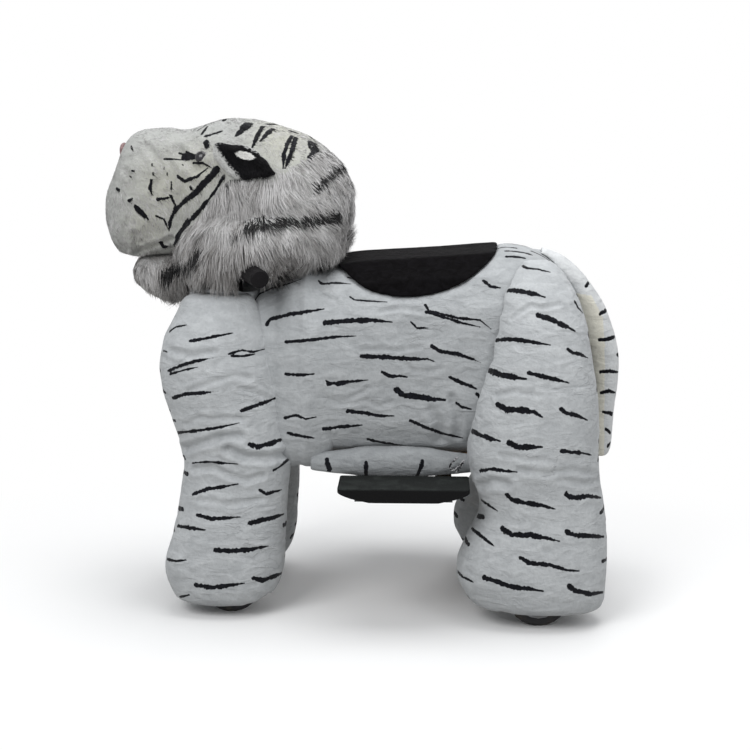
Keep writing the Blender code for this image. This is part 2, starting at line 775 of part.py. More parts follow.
def build_footrests(steel, board_paint):
    """Two flat bars under the beam carry a bowed board on each side of the belly."""
    bar_top = BEAM_BOTTOM - GAP
    bar_bottom = bar_top - FOOT_BAR_HEIGHT
    bars = []
    for number, x in enumerate((FOOT_FRONT + FOOT_BAR_INSET, FOOT_BACK - FOOT_BAR_INSET)):
        low = (x - FOOT_BAR_WIDTH / 2, -FOOT_OUTER + FOOT_CORNER, bar_bottom)
        high = (x + FOOT_BAR_WIDTH / 2, FOOT_OUTER - FOOT_CORNER, bar_top)
        bars.append(box(low, high) if number else add_piece("footrest_frame", box(low, high), steel))
    rear_bar = add_cutter("footrest_rear_bar", bars[1])
    combine(bars[0], rear_bar, "UNION")
    spine = add_cutter(
        "footrest_spine",
        box(
            (FOOT_FRONT + FOOT_BAR_INSET, -BEAM_WIDTH / 2, bar_bottom),
            (FOOT_BACK - FOOT_BAR_INSET, BEAM_WIDTH / 2, bar_top),
        ),
    )
    combine(bars[0], spine, "UNION")

    middle = (FOOT_FRONT + FOOT_BACK) / 2
    half_length = (FOOT_BACK - FOOT_FRONT) / 2
    for label, side in SIDES:
        outline = []
        for corner_x, corner_y, start in (
            (half_length, FOOT_OUTER, 0),
            (-half_length, FOOT_OUTER, 1),
        ):
            centre_x = corner_x - math.copysign(FOOT_CORNER, corner_x)
            centre_y = corner_y - FOOT_CORNER
            for i in range(CORNER_STEPS + 1):
                angle = math.pi / 2 * (start + i / CORNER_STEPS)
                outline.append((centre_x + FOOT_CORNER * math.cos(angle), centre_y + FOOT_CORNER * math.sin(angle)))
        outline += [(-half_length, FOOT_INNER), (half_length, FOOT_INNER)]
        board = add_piece(f"footboard_{label}", foot_shell(outline, middle, side), board_paint)
        trim = add_cutter(f"footboard_bow_{label}", foot_bow(middle, half_length, side))
        combine(board, trim)
        hollow = mirrored_box(
            side,
            (FOOT_FRONT + 2 * FOOT_SKIRT, FOOT_INNER - OVERRUN, FOOT_BOTTOM - OVERRUN),
            (FOOT_BACK - 2 * FOOT_SKIRT, FOOT_OUTER - FOOT_SKIRT, bar_top + GAP),
        )
        combine(board, add_cutter(f"footboard_hollow_{label}", hollow))


def foot_shell(outline, middle, side):
    """A board's slab, with a small bevel round its upper edge."""
    rings = [
        [(middle + x, side * y, z) for x, y in outline]
        for z in (FOOT_BOTTOM, FOOT_TOP - FOOT_EDGE / 4, FOOT_TOP)
    ]
    inset = 1 - FOOT_EDGE / 2 / (FOOT_OUTER - FOOT_INNER)
    centre_y = (FOOT_OUTER + FOOT_INNER) / 2
    rings[2] = [(middle + x * inset, side * (centre_y + (y - centre_y) * inset), FOOT_TOP) for x, y in outline]
    return skin_rings(rings)


def foot_bow(middle, half_length, side):
    """What is cut away below, so that the board's underside rises towards its ends."""
    points = []
    for i in range(BOW_STEPS + 1):
        share = -1 + 2 * i / BOW_STEPS
        past_flat = max(0, (abs(share) - BOW_FLAT_SHARE) / (1 - BOW_FLAT_SHARE))
        rise = (FOOT_THICKNESS - FOOT_EDGE) * past_flat**BOW_POWER
        points.append((middle + share * (half_length + FOOT_EDGE), FOOT_BOTTOM - GAP + rise))
    points += [(points[-1][0], FOOT_BOTTOM - OVERRUN), (points[0][0], FOOT_BOTTOM - OVERRUN)]
    near, far = side * (FOOT_INNER - OVERRUN), side * (FOOT_OUTER + OVERRUN)
    return skin_rings([[(x, y, z) for x, z in points] for y in (near, far)])


def build_boards(wood, steel):
    """The plywood floor of the body, the seat's steel stand and the board under the saddle."""
    add_piece(
        "base_board",
        box((BASE_FRONT, -BASE_HALF_WIDTH, BASE_BOTTOM), (BASE_BACK, BASE_HALF_WIDTH, BASE_TOP)),
        wood,
    )
    half = SEAT_BAR / 2
    bar_top = SEAT_BOARD_BOTTOM - GAP
    foot = BASE_TOP + GAP
    stand = None
    for x in (SEAT_FRONT_X, SEAT_BACK_X):
        for side in (-1, 1):
            y = side * SEAT_HALF_WIDTH
            shape = box((x - half, y - half, foot), (x + half, y + half, bar_top))
            if stand is None:
                stand = add_piece("seat_frame", shape, steel)
            else:
                combine(stand, add_cutter("seat_leg", shape), "UNION")
        beam = box((x - half, -SEAT_HALF_WIDTH, bar_top - SEAT_BAR), (x + half, SEAT_HALF_WIDTH, bar_top))
        combine(stand, add_cutter("seat_cross_bar", beam), "UNION")
    for side in (-1, 1):
        y = side * SEAT_HALF_WIDTH
        rail = box((SEAT_FRONT_X, y - half, bar_top - SEAT_BAR), (SEAT_BACK_X, y + half, bar_top))
        combine(stand, add_cutter("seat_rail", rail), "UNION")
    margin = SEAT_BAR / 2 + SEAT_BOARD_OVERHANG
    add_piece(
        "seat_board",
        box(
            (SEAT_FRONT_X - margin, -SEAT_HALF_WIDTH - half, SEAT_BOARD_BOTTOM),
            (SEAT_BACK_X + margin, SEAT_HALF_WIDTH + half, SEAT_BOARD_TOP),
        ),
        wood,
    )


def build_battery(plastic, web):
    """A sealed battery on the base board with its two terminals, and the strap that holds it."""
    centre_x = (SEAT_FRONT_X + SEAT_BACK_X) / 2
    low = Vector((centre_x - BATTERY_LENGTH / 2, -BATTERY_WIDTH / 2, BASE_TOP + GAP))
    high = low + Vector((BATTERY_LENGTH, BATTERY_WIDTH, BATTERY_HEIGHT))
    step = Vector((BATTERY_LID_STEP, BATTERY_LID_STEP, 0))
    case = add_piece("battery", box(low + step, high - step), plastic)
    lid = box((low.x, low.y, high.z - BATTERY_LID), (high.x, high.y, high.z - BATTERY_LID_STEP))
    combine(case, add_cutter("battery_lid", lid), "UNION")
    for side in (-1, 1):
        middle = side * (BATTERY_WIDTH / 2 - 2 * TERMINAL_SIZE)
        post = box(
            (low.x + TERMINAL_SIZE, middle - TERMINAL_SIZE / 2, high.z - BATTERY_LID),
            (low.x + 2 * TERMINAL_SIZE, middle + TERMINAL_SIZE / 2, high.z + TERMINAL_HEIGHT),
        )
        combine(case, add_cutter("battery_terminal", post), "UNION")

    outer = STRAP_THICKNESS + GAP
    strap = add_piece(
        "battery_strap",
        box(
            (centre_x - STRAP_WIDTH / 2, low.y - outer, low.z),
            (centre_x + STRAP_WIDTH / 2, high.y + outer, high.z + outer),
        ),
        web,
    )
    hollow = box(
        (centre_x - STRAP_WIDTH, low.y - GAP, low.z - OVERRUN),
        (centre_x + STRAP_WIDTH, high.y + GAP, high.z + GAP),
    )
    combine(strap, add_cutter("strap_hollow", hollow))


def build_controller(metal):
    """The motor controller, a finned case behind the seat stand."""
    back = BASE_BACK - CONTROLLER_BACK_MARGIN
    floor = BASE_TOP + GAP
    body_top = floor + CONTROLLER_HEIGHT - CONTROLLER_FIN
    case = add_piece(
        "controller_box",
        box((back - CONTROLLER_LENGTH, -CONTROLLER_WIDTH / 2, floor), (back, CONTROLLER_WIDTH / 2, body_top)),
        metal,
    )
    pitch = CONTROLLER_WIDTH / CONTROLLER_FINS
    for i in range(CONTROLLER_FINS):
        y = -CONTROLLER_WIDTH / 2 + pitch * i
        fin = box(
            (back - CONTROLLER_LENGTH, y, body_top - CONTROLLER_FIN),
            (back, y + pitch / 2, body_top + CONTROLLER_FIN),
        )
        combine(case, add_cutter("controller_fin", fin), "UNION")


def gear_outline(teeth, turn):
    """A spur gear's outline about its own centre: four points a tooth, narrow enough to run free."""
    pitch_radius = TOOTH_MODULE * teeth / 2
    tip = pitch_radius + TOOTH_TIP_MODULES * TOOTH_MODULE
    root = pitch_radius - TOOTH_ROOT_MODULES * TOOTH_MODULE
    step = 2 * math.pi / teeth
    outline = []
    for i in range(teeth):
        middle = turn + i * step
        for radius, share in (
            (root, -HALF_ROOT_SHARE), (tip, -HALF_TIP_SHARE), (tip, HALF_TIP_SHARE), (root, HALF_ROOT_SHARE),
        ):
            angle = middle + share * step
            outline.append((radius * math.cos(angle), radius * math.sin(angle)))
    return outline


def gear_body(teeth, turn, centre, width):
    """A toothed wheel standing across Y about the centre given."""
    rings = []
    for y in (-width / 2, width / 2):
        rings.append([(centre.x + x, centre.y + y, centre.z + z) for x, z in gear_outline(teeth, turn)])
    return skin_rings(rings)


def build_drive(steel, brass, motor_paint, axle_pivot, pinion_pivot):
    """Gear motor on the motor plate, its pinion, and the large gear on the rear axle."""
    plate_inner = GEAR_Y - PINION_WIDTH / 2 - AXLE_END - MOTOR_PLATE_THICKNESS
    face = plate_inner - GAP
    profile = [
        (GEARBOX_RADIUS, 0),
        (GEARBOX_RADIUS, GEARBOX_LENGTH),
        (MOTOR_RADIUS, GEARBOX_LENGTH),
        (MOTOR_RADIUS, GEARBOX_LENGTH + MOTOR_LENGTH),
        (MOTOR_CAP_RADIUS, GEARBOX_LENGTH + MOTOR_LENGTH),
        (MOTOR_CAP_RADIUS, GEARBOX_LENGTH + MOTOR_LENGTH + MOTOR_CAP_LENGTH),
    ]
    place = PINION_AXIS + Vector((0, face, 0))
    motor = add_piece("gear_motor", turned(profile, place, (0, -1, 0)), motor_paint)
    socket = rod(
        SHAFT_RADIUS + AXLE_CLEARANCE,
        PINION_AXIS + Vector((0, face - GEARBOX_LENGTH / 2, 0)),
        PINION_AXIS + Vector((0, face + OVERRUN, 0)),
    )
    combine(motor, add_cutter("motor_socket", socket))

    toward = math.atan2(PINION_AXIS.z - REAR_AXIS.z, PINION_AXIS.x - REAR_AXIS.x)
    gear_centre = REAR_AXIS + Vector((0, GEAR_Y, 0))
    # A tooth of the gear points at the pinion, and a gap of the pinion faces it.
    gear = add_piece("axle_gear", gear_body(GEAR_TEETH, toward, gear_centre, GEAR_WIDTH), steel, axle_pivot)
    boss_reach = GEAR_WIDTH / 2 + GEAR_HUB_LENGTH
    boss = rod(
        GEAR_HUB_RADIUS,
        gear_centre,
        gear_centre + Vector((0, boss_reach, 0)),
    )
    combine(gear, add_cutter("gear_boss", boss), "UNION")
    bore = rod(
        AXLE_RADIUS + GAP,
        gear_centre - Vector((0, OVERRUN, 0)),
        gear_centre + Vector((0, OVERRUN, 0)),
    )
    combine(gear, add_cutter("gear_bore", bore))

    pinion_turn = toward + math.pi + math.pi / PINION_TEETH
    pinion_centre = PINION_AXIS + Vector((0, GEAR_Y, 0))
    pinion = add_piece(
        "motor_pinion", gear_body(PINION_TEETH, pinion_turn, pinion_centre, PINION_WIDTH), brass, pinion_pivot
    )
    shaft = rod(
        SHAFT_RADIUS,
        PINION_AXIS + Vector((0, face - GEARBOX_LENGTH / 2 + AXLE_END, 0)),
        pinion_centre,
    )
    combine(pinion, add_cutter("pinion_shaft", shaft), "UNION")


def build_wheel(label, place, side, boss_reach, tyre_rubber, hub_plastic, pivot, place_name):
    """A wheel with a plastic hub and a solid rubber tyre. The hub's boss reaches further on its inner side."""
    rim = WHEEL_RADIUS - TYRE_THICKNESS
    half = TYRE_WIDTH / 2
    outer = across_flats(WHEEL_RADIUS, WHEEL_SIDES)
    tyre_profile = [
        (outer - TYRE_SHOULDER, -half),
        (outer, -half + TYRE_SHOULDER),
        (outer, half - TYRE_SHOULDER),
        (outer - TYRE_SHOULDER, half),
        (rim + GAP, half),
        (rim + GAP, -half),
    ]
    direction = (0, side, 0)
    tyre = turned(tyre_profile, place, direction, WHEEL_SIDES, bored=True)
    add_piece(f"{place_name}_tyre_{label}", tyre, tyre_rubber, pivot)
    web = HUB_WEB / 2
    hub_profile = [
        (AXLE_RADIUS + AXLE_CLEARANCE, -boss_reach),
        (HUB_BOSS_RADIUS, -boss_reach),
        (HUB_BOSS_RADIUS, -web),
        (rim - HUB_RIM, -web),
        (rim - HUB_RIM, -half),
        (rim, -half),
        (rim, half),
        (rim - HUB_RIM, half),
        (rim - HUB_RIM, web),
        (HUB_BOSS_RADIUS, web),
        (HUB_BOSS_RADIUS, HUB_WIDTH / 2),
        (AXLE_RADIUS + AXLE_CLEARANCE, HUB_WIDTH / 2),
    ]
    hub = turned(hub_profile, place, direction, HUB_SIDES, bored=True)
    add_piece(f"{place_name}_hub_{label}", hub, hub_plastic, pivot)


def build_running_gear(steel, rubber, hub_plastic, steering_pivot, axle_pivot):
    """Two free front wheels in forks, and two rear wheels on one driven axle."""
    for label, side in SIDES:
        place = Vector((FRONT_AXLE_X, side * FRONT_WHEEL_Y, WHEEL_RADIUS))
        pivot = make_pivot(f"front_wheel_pivot_{label}", place)
        build_wheel(label, place, side, HUB_WIDTH / 2, rubber, hub_plastic, pivot, "front")
        reach = FORK_INNER_WIDTH / 2 + FORK_PLATE + GAP
        profile = [
            (AXLE_HEAD_RADIUS, reach + AXLE_HEAD_LENGTH),
            (AXLE_HEAD_RADIUS, reach),
            (AXLE_RADIUS, reach),
            (AXLE_RADIUS, -reach - AXLE_TAIL_LENGTH),
        ]
        add_piece(f"front_axle_{label}", turned(profile, place, (0, side, 0), BOLT_SIDES), steel, steering_pivot)

    inner_reach = REAR_WHEEL_Y - REAR_PLATE_Y - REAR_PLATE_THICKNESS / 2 - AXLE_END
    end = REAR_WHEEL_Y + HUB_WIDTH / 2 + AXLE_END
    add_piece(
        "rear_axle",
        rod(AXLE_RADIUS, (REAR_AXLE_X, -end, WHEEL_RADIUS), (REAR_AXLE_X, end, WHEEL_RADIUS)),
        steel,
        axle_pivot,
    )
    for label, side in SIDES:
        place = Vector((REAR_AXLE_X, side * REAR_WHEEL_Y, WHEEL_RADIUS))
        build_wheel(label, place, side, inner_reach, rubber, hub_plastic, axle_pivot, "rear")


def build_steering(steel, pivot):
    """Column, crown and the two front posts, each ending in a fork over its wheel."""
    plate_bottom = MOUNT_PLATE_Z
    add_piece(
        "steering_column",
        tube(
            COLUMN_RADIUS, COLUMN_WALL, (FRONT_AXLE_X, 0, COLUMN_BOTTOM), (FRONT_AXLE_X, 0, plate_bottom - GAP)
        ),
        steel,
        pivot,
    )
    half = CROWN_SIZE / 2
    reach = FRONT_WHEEL_Y + CROWN_OVERHANG
    crown = add_piece(
        "fork_crown",
        box((FRONT_AXLE_X - half, -reach, CROWN_BOTTOM), (FRONT_AXLE_X + half, reach, CROWN_TOP)),
        steel,
        pivot,
    )
    bore = rod(
        COLUMN_RADIUS + GAP,
        (FRONT_AXLE_X, 0, CROWN_BOTTOM - OVERRUN),
        (FRONT_AXLE_X, 0, CROWN_TOP + OVERRUN),
    )
    combine(crown, add_cutter("crown_bore", bore))

    for label, side in SIDES:
        y = side * FRONT_WHEEL_Y
        post = add_piece(
            f"front_post_{label}",
            rod(POST_RADIUS, (FRONT_AXLE_X, y, FORK_TOP - FORK_PLATE / 2), (FRONT_AXLE_X, y, CROWN_BOTTOM - GAP)),
            steel,
            pivot,
        )
        outer = FORK_INNER_WIDTH / 2 + FORK_PLATE
        deep = FORK_DEPTH / 2
        yoke = box(
            (FRONT_AXLE_X - deep, y - outer, WHEEL_RADIUS - deep),
            (FRONT_AXLE_X + deep, y + outer, FORK_TOP),
        )
        combine(post, add_cutter(f"fork_yoke_{label}", yoke), "UNION")
        mouth = box(
            (FRONT_AXLE_X - deep - OVERRUN, y - FORK_INNER_WIDTH / 2, WHEEL_RADIUS - deep - OVERRUN),
            (FRONT_AXLE_X + deep + OVERRUN, y + FORK_INNER_WIDTH / 2, FORK_TOP - FORK_PLATE),
        )
        combine(post, add_cutter(f"fork_mouth_{label}", mouth))
        hole = rod(
            AXLE_RADIUS + GAP,
            (FRONT_AXLE_X, y - outer - OVERRUN, WHEEL_RADIUS),
            (FRONT_AXLE_X, y + outer + OVERRUN, WHEEL_RADIUS),
        )
        combine(post, add_cutter(f"fork_hole_{label}", hole))

    plate = box(
        (FRONT_AXLE_X - MOUNT_PLATE_DEPTH / 2, -MOUNT_PLATE_WIDTH / 2, plate_bottom),
        (FRONT_AXLE_X + MOUNT_PLATE_DEPTH / 2, MOUNT_PLATE_WIDTH / 2, plate_bottom + MOUNT_PLATE_THICKNESS),
    )
    add_piece("head_mount_plate", plate, steel, pivot)


def bar_point(side, share):
    """A place on the handlebar between the end of its straight middle, 0, and its tip, 1."""
    start = Vector((BAR_X, side * BAR_STRAIGHT, BAR_Z))
    end = Vector((BAR_END_X, side * BAR_END_Y, BAR_END_Z))
    return start.lerp(end, share)


def build_handlebar(steel, rubber, plastic, pivot, lever_pivot):
    """A swept-back bar clamped to the column, with two grips and a thumb throttle beside the right one."""
    column_y = COLUMN_RADIUS + GAP
    ahead = CLAMP_RADIUS + BAR_RADIUS
    bar = add_piece(
        "handlebar",
        swept(
            [bar_point(-1, 1), bar_point(-1, 0), bar_point(1, 0), bar_point(1, 1)],
            [BAR_RADIUS] * 4,
            BAR_SIDES,
        ),
        steel,
        pivot,
    )
    combine(
        bar,
        add_cutter(
            "bar_column_hole",
            rod(column_y, (FRONT_AXLE_X, 0, BAR_Z - OVERRUN), (FRONT_AXLE_X, 0, BAR_Z + OVERRUN)),
        ),
    )
    clamp = add_piece(
        "handlebar_clamp",
        box(
            (FRONT_AXLE_X - ahead, -CLAMP_WIDTH / 2, BAR_Z - CLAMP_HEIGHT / 2),
            (FRONT_AXLE_X + ahead, CLAMP_WIDTH / 2, BAR_Z + CLAMP_HEIGHT / 2),
        ),
        steel,
        pivot,
    )
    combine(
        clamp,
        add_cutter(
            "clamp_column_hole",
            rod(column_y, (FRONT_AXLE_X, 0, BAR_Z - CLAMP_HEIGHT), (FRONT_AXLE_X, 0, BAR_Z + CLAMP_HEIGHT)),
        ),
    )
    combine(
        clamp,
        add_cutter(
            "clamp_bar_hole",
            rod(
                across_flats(BAR_RADIUS + GAP, BAR_SIDES),
                (BAR_X, -CLAMP_WIDTH, BAR_Z),
                (BAR_X, CLAMP_WIDTH, BAR_Z),
                BAR_SIDES,
            ),
        ),
    )
    for label, side in SIDES:
        tip = bar_point(side, 1)
        along = (tip - bar_point(side, 0)).normalized()
        bore = BAR_RADIUS + GAP
        profile = [
            (bore, GAP),
            (bore, -GRIP_LENGTH),
            (GRIP_RADIUS + GRIP_FLANGE, -GRIP_LENGTH),
            (GRIP_RADIUS + GRIP_FLANGE, -GRIP_LENGTH + GRIP_FLANGE),
            (GRIP_RADIUS, -GRIP_LENGTH + 2 * GRIP_FLANGE),
            (GRIP_RADIUS, GRIP_CAP / 2),
            (GRIP_RADIUS - GRIP_FLANGE, GRIP_CAP),
        ]
        add_piece(f"grip_{label}", turned(profile, tip, along), rubber, pivot)

    tip = bar_point(1, 1)
    along = (tip - bar_point(1, 0)).normalized()
    lever_start = -GRIP_LENGTH - 2 * AXLE_CLEARANCE
    lever_end = lever_start - LEVER_LENGTH
    bore = BAR_RADIUS + AXLE_CLEARANCE
    ring = [
        (bore, lever_start),
        (HOUSING_RADIUS - GRIP_FLANGE, lever_start),
        (HOUSING_RADIUS - GRIP_FLANGE, lever_end),
        (bore, lever_end),
    ]
    lever = add_piece("throttle_lever", turned(ring, tip, along, LEVER_SIDES, bored=True), plastic, lever_pivot)
    centre = tip + along * (lever_start + lever_end) / 2
    outward = Vector((0, 0, 1)).cross(along).normalized()
    if outward.x < 0:
        outward.negate()
    paddle = swept(
        [
            centre + outward * (bore + LEVER_THICKNESS / 2),
            centre + outward * LEVER_REACH,
        ],
        [LEVER_LENGTH / 2, LEVER_LENGTH / 2],
        PADDLE_SIDES,
    )
    combine(lever, add_cutter("lever_paddle", paddle), "UNION")
    housing_start = lever_end - 2 * AXLE_CLEARANCE
    housing = [
        (BAR_RADIUS + GAP, housing_start),
        (HOUSING_RADIUS, housing_start),
        (HOUSING_RADIUS, housing_start - HOUSING_LENGTH),
        (BAR_RADIUS + GAP, housing_start - HOUSING_LENGTH),
    ]
    add_piece("throttle_housing", turned(housing, tip, along, bored=True), plastic, pivot)


def turned_about_steering(mesh_data, angle):
    """Points moved to where the steering puts them when it turns by the angle."""
    points, faces = mesh_data
    turn = Matrix.Rotation(angle, 3, "Z")
    return [STEERING_AXIS + turn @ (Vector(point) - STEERING_AXIS) for point in points], faces


def clear_for_steering(torso):
    """Hollows the body's front where the legs and the neck swing."""
    neck = rod(NECK_RADIUS, (FRONT_AXLE_X, 0, BASE_BOTTOM), (FRONT_AXLE_X, 0, TORSO_TOP), LEG_SIDES * 2)
    combine(torso, add_cutter("neck_sweep", neck))
    for label, side in SIDES:
        for step in SWEEP_SHARES:
            leg = turned_about_steering(front_leg_form(side, STEERING_CLEARANCE), side * -step * STEERING_ANGLE)
            combine(torso, add_cutter(f"leg_sweep_{label}", leg))


def build_torso(plush, saddle_cloth):
    """The stuffed body with a bay for the battery and seat stand, and the saddle let into its back."""
    torso = add_piece("torso_plush", torso_form(), plush)
    clear_for_steering(torso)
    margin = SEAT_BAR / 2 + SEAT_BOARD_OVERHANG + BAY_CLEARANCE
    bay_width = SEAT_HALF_WIDTH + SEAT_BAR / 2 + BAY_CLEARANCE
    bay = box(
        (SEAT_FRONT_X - margin, -bay_width, TORSO_BOTTOM - OVERRUN),
        (BASE_BACK - GAP, bay_width, SEAT_BOARD_TOP + GAP),
    )
    combine(torso, add_cutter("torso_bay", bay))

    core = add_cutter("saddle_core", torso_form(-SADDLE_DEPTH))
    pocket_core = add_cutter("saddle_pocket_core", torso_form(-SADDLE_DEPTH - GAP))
    pocket = add_cutter("saddle_pocket", saddle_prism(GAP))
    combine(pocket, pocket_core)
    combine(torso, pocket)

    saddle = add_piece("saddle_cushion", torso_form(SADDLE_PROUD), saddle_cloth)
    combine(saddle, add_cutter("saddle_outline", saddle_prism(0)), "INTERSECT")
    combine(saddle, core)


def saddle_prism(grow):
    """All that lies above the saddle's lower edge, across the whole width."""
    outline = []
    for along, drop in refine(SADDLE_EDGE_SHARES):
        x = SADDLE_FRONT + (SADDLE_BACK - SADDLE_FRONT) * along
        outline.append((x, SADDLE_EDGE_Z - SADDLE_DROP * drop - grow))
    outline[0] = (outline[0][0] - grow, outline[0][1])
    outline[-1] = (outline[-1][0] + grow, outline[-1][1])
    roof = TORSO_TOP + OVERRUN
    outline += [(outline[-1][0], roof), (outline[0][0], roof)]
    reach = TORSO_HALF_WIDTH + OVERRUN
    return skin_rings([[(x, y, z) for x, z in outline] for y in (-reach, reach)])


def build_rear_legs(plush):
    grown_torso = add_cutter("rear_leg_torso_cut", torso_form(SOFT_GAP))
    for label, side in SIDES:
        leg = add_piece(f"rear_leg_plush_{label}", rear_leg_form(side), plush)
        combine(leg, grown_torso)
        wheel_reach = WHEEL_RADIUS + WELL_CLEARANCE
        outer = REAR_WHEEL_Y + HUB_WIDTH / 2 + WELL_SIDE_CLEARANCE
        inner = REAR_PLATE_Y - REAR_BEARING_WIDTH
        arch = rod(
            wheel_reach,
            (REAR_AXLE_X, side * inner, WHEEL_RADIUS),
            (REAR_AXLE_X, side * outer, WHEEL_RADIUS),
            ARCH_SIDES,
        )
        combine(leg, add_cutter(f"rear_arch_{label}", arch))
        mouth = mirrored_box(
            side,
            (REAR_AXLE_X - wheel_reach, inner, -OVERRUN),
            (REAR_AXLE_X + wheel_reach, outer, WHEEL_RADIUS),
        )
        combine(leg, add_cutter(f"rear_mouth_{label}", mouth))
        slot = REAR_PLATE_WIDTH / 2 + BAY_CLEARANCE
        plate_slot = mirrored_box(
            side,
            (REAR_AXLE_X - slot, 0, -OVERRUN),
            (REAR_AXLE_X + slot, REAR_PLATE_Y + REAR_PLATE_THICKNESS / 2 + GAP, BASE_TOP + GAP),
        )
        combine(leg, add_cutter(f"rear_plate_slot_{label}", plate_slot))
        board_slot = mirrored_box(
            side,
            (REAR_AXLE_X - REAR_LEG_HALF_DEPTH - OVERRUN, 0, BASE_BOTTOM - GAP),
            (BASE_BACK + GAP, BASE_HALF_WIDTH + GAP, BASE_TOP + GAP),
        )
        combine(leg, add_cutter(f"rear_board_slot_{label}", board_slot))


def build_front_legs(plush, pivot):
    for label, side in SIDES:
        leg = add_piece(f"front_leg_plush_{label}", front_leg_form(side), plush, pivot)
        y = side * FRONT_WHEEL_Y
        wheel_reach = WHEEL_RADIUS + WELL_CLEARANCE
        half = FORK_INNER_WIDTH / 2 + FORK_PLATE + AXLE_HEAD_LENGTH + BAY_CLEARANCE
        arch = rod(
            wheel_reach,
            (FRONT_AXLE_X, y - half, WHEEL_RADIUS),
            (FRONT_AXLE_X, y + half, WHEEL_RADIUS),
            ARCH_SIDES,
        )
        combine(leg, add_cutter(f"front_arch_{label}", arch))
        mouth = box(
            (FRONT_AXLE_X - wheel_reach, y - half, -OVERRUN),
            (FRONT_AXLE_X + wheel_reach, y + half, WHEEL_RADIUS),
        )
        combine(leg, add_cutter(f"front_mouth_{label}", mouth))
        bore = rod(POST_RADIUS + GAP, (FRONT_AXLE_X, y, WHEEL_RADIUS), (FRONT_AXLE_X, y, CROWN_BOTTOM + GAP))
        combine(leg, add_cutter(f"front_bore_{label}", bore))
        yoke_deep, yoke_wide = FORK_DEPTH / 2 + BAY_CLEARANCE, FORK_INNER_WIDTH / 2 + FORK_PLATE + GAP
        yoke = box(
            (FRONT_AXLE_X - yoke_deep, y - yoke_wide, -OVERRUN),
            (FRONT_AXLE_X + yoke_deep, y + yoke_wide, FORK_TOP + GAP),
        )
        combine(leg, add_cutter(f"front_yoke_space_{label}", yoke))
        deep = CROWN_SIZE / 2 + GAP
        slot = mirrored_box(
            side,
            (FRONT_AXLE_X - deep, 0, CROWN_BOTTOM - GAP),
            (FRONT_AXLE_X + deep, FRONT_WHEEL_Y + CROWN_OVERHANG + GAP, CROWN_TOP + GAP),
        )
        combine(leg, add_cutter(f"front_slot_{label}", slot))


def build_belly_rolls(plush):
    """The padded roll that closes the lower edge of the body above each footboard."""
    front = BASE_FRONT - FOOT_EDGE
    centre_z = FOOT_TOP + ROLL_RADIUS + GAP
    torso_cut = add_cutter("roll_torso_cut", torso_form(SOFT_GAP))
    for label, side in SIDES:
        count = ROLL_STATIONS
        centres, radii = [], []
        for i in range(count):
            share = i / (count - 1)
            swell = math.sin(math.pi * share) ** ROLL_SWELL_POWER if 0 < i < count - 1 else ROLL_END_SHARE
            centres.append((front + (ROLL_BACK - front) * share, side * ROLL_Y, centre_z))
            radii.append(ROLL_RADIUS * max(swell, ROLL_END_SHARE))
        roll = add_piece(f"belly_roll_{label}", swept(centres, radii, TAIL_SIDES), plush)
        combine(roll, torso_cut)
        leg_cut = add_cutter(f"roll_leg_cut_{label}", rear_leg_form(side, SOFT_GAP))
        combine(roll, leg_cut)


def build_tail(plush):
    centres, radii = [], []
    for along, high, thick in refine(TAIL_SHARES):
        x = TAIL_ROOT_X + (TAIL_REACH_X - TAIL_ROOT_X) * along
        centres.append((x, 0, TAIL_BOTTOM + (TAIL_TOP - TAIL_BOTTOM) * high))
        radii.append(TAIL_RADIUS * thick)
    tail = add_piece("tail_plush", swept(centres, radii, TAIL_SIDES), plush)
    combine(tail, add_cutter("tail_torso_cut", torso_form(SOFT_GAP)))


def build_chest(plush, pivot):
    """The stuffing between the front legs, up to the ruff, around the steering column."""
    rows = [(height, centre, deep, 0, wide) for height, centre, deep, wide in CHEST_SHARES]
    chest = add_piece(
        "chest_plush",
        standing_form(
            rows, FRONT_AXLE_X, CHEST_HALF_DEPTH, CHEST_BOTTOM, CHEST_TOP, 0, CHEST_HALF_WIDTH, LEG_POWER
        ),
        plush,
        pivot,
    )
    for label, side in SIDES:
        combine(chest, add_cutter(f"chest_leg_cut_{label}", front_leg_form(side, SOFT_GAP)))
    combine(chest, add_cutter("chest_ruff_cut", ruff_form(SOFT_GAP)))
    combine(chest, add_cutter("chest_jaw_cut", jaw_form(SOFT_GAP)))
    bore = rod(
        COLUMN_RADIUS + GAP, (FRONT_AXLE_X, 0, CHEST_BOTTOM - OVERRUN), (FRONT_AXLE_X, 0, CHEST_TOP + OVERRUN)
    )
    combine(chest, add_cutter("chest_bore", bore))


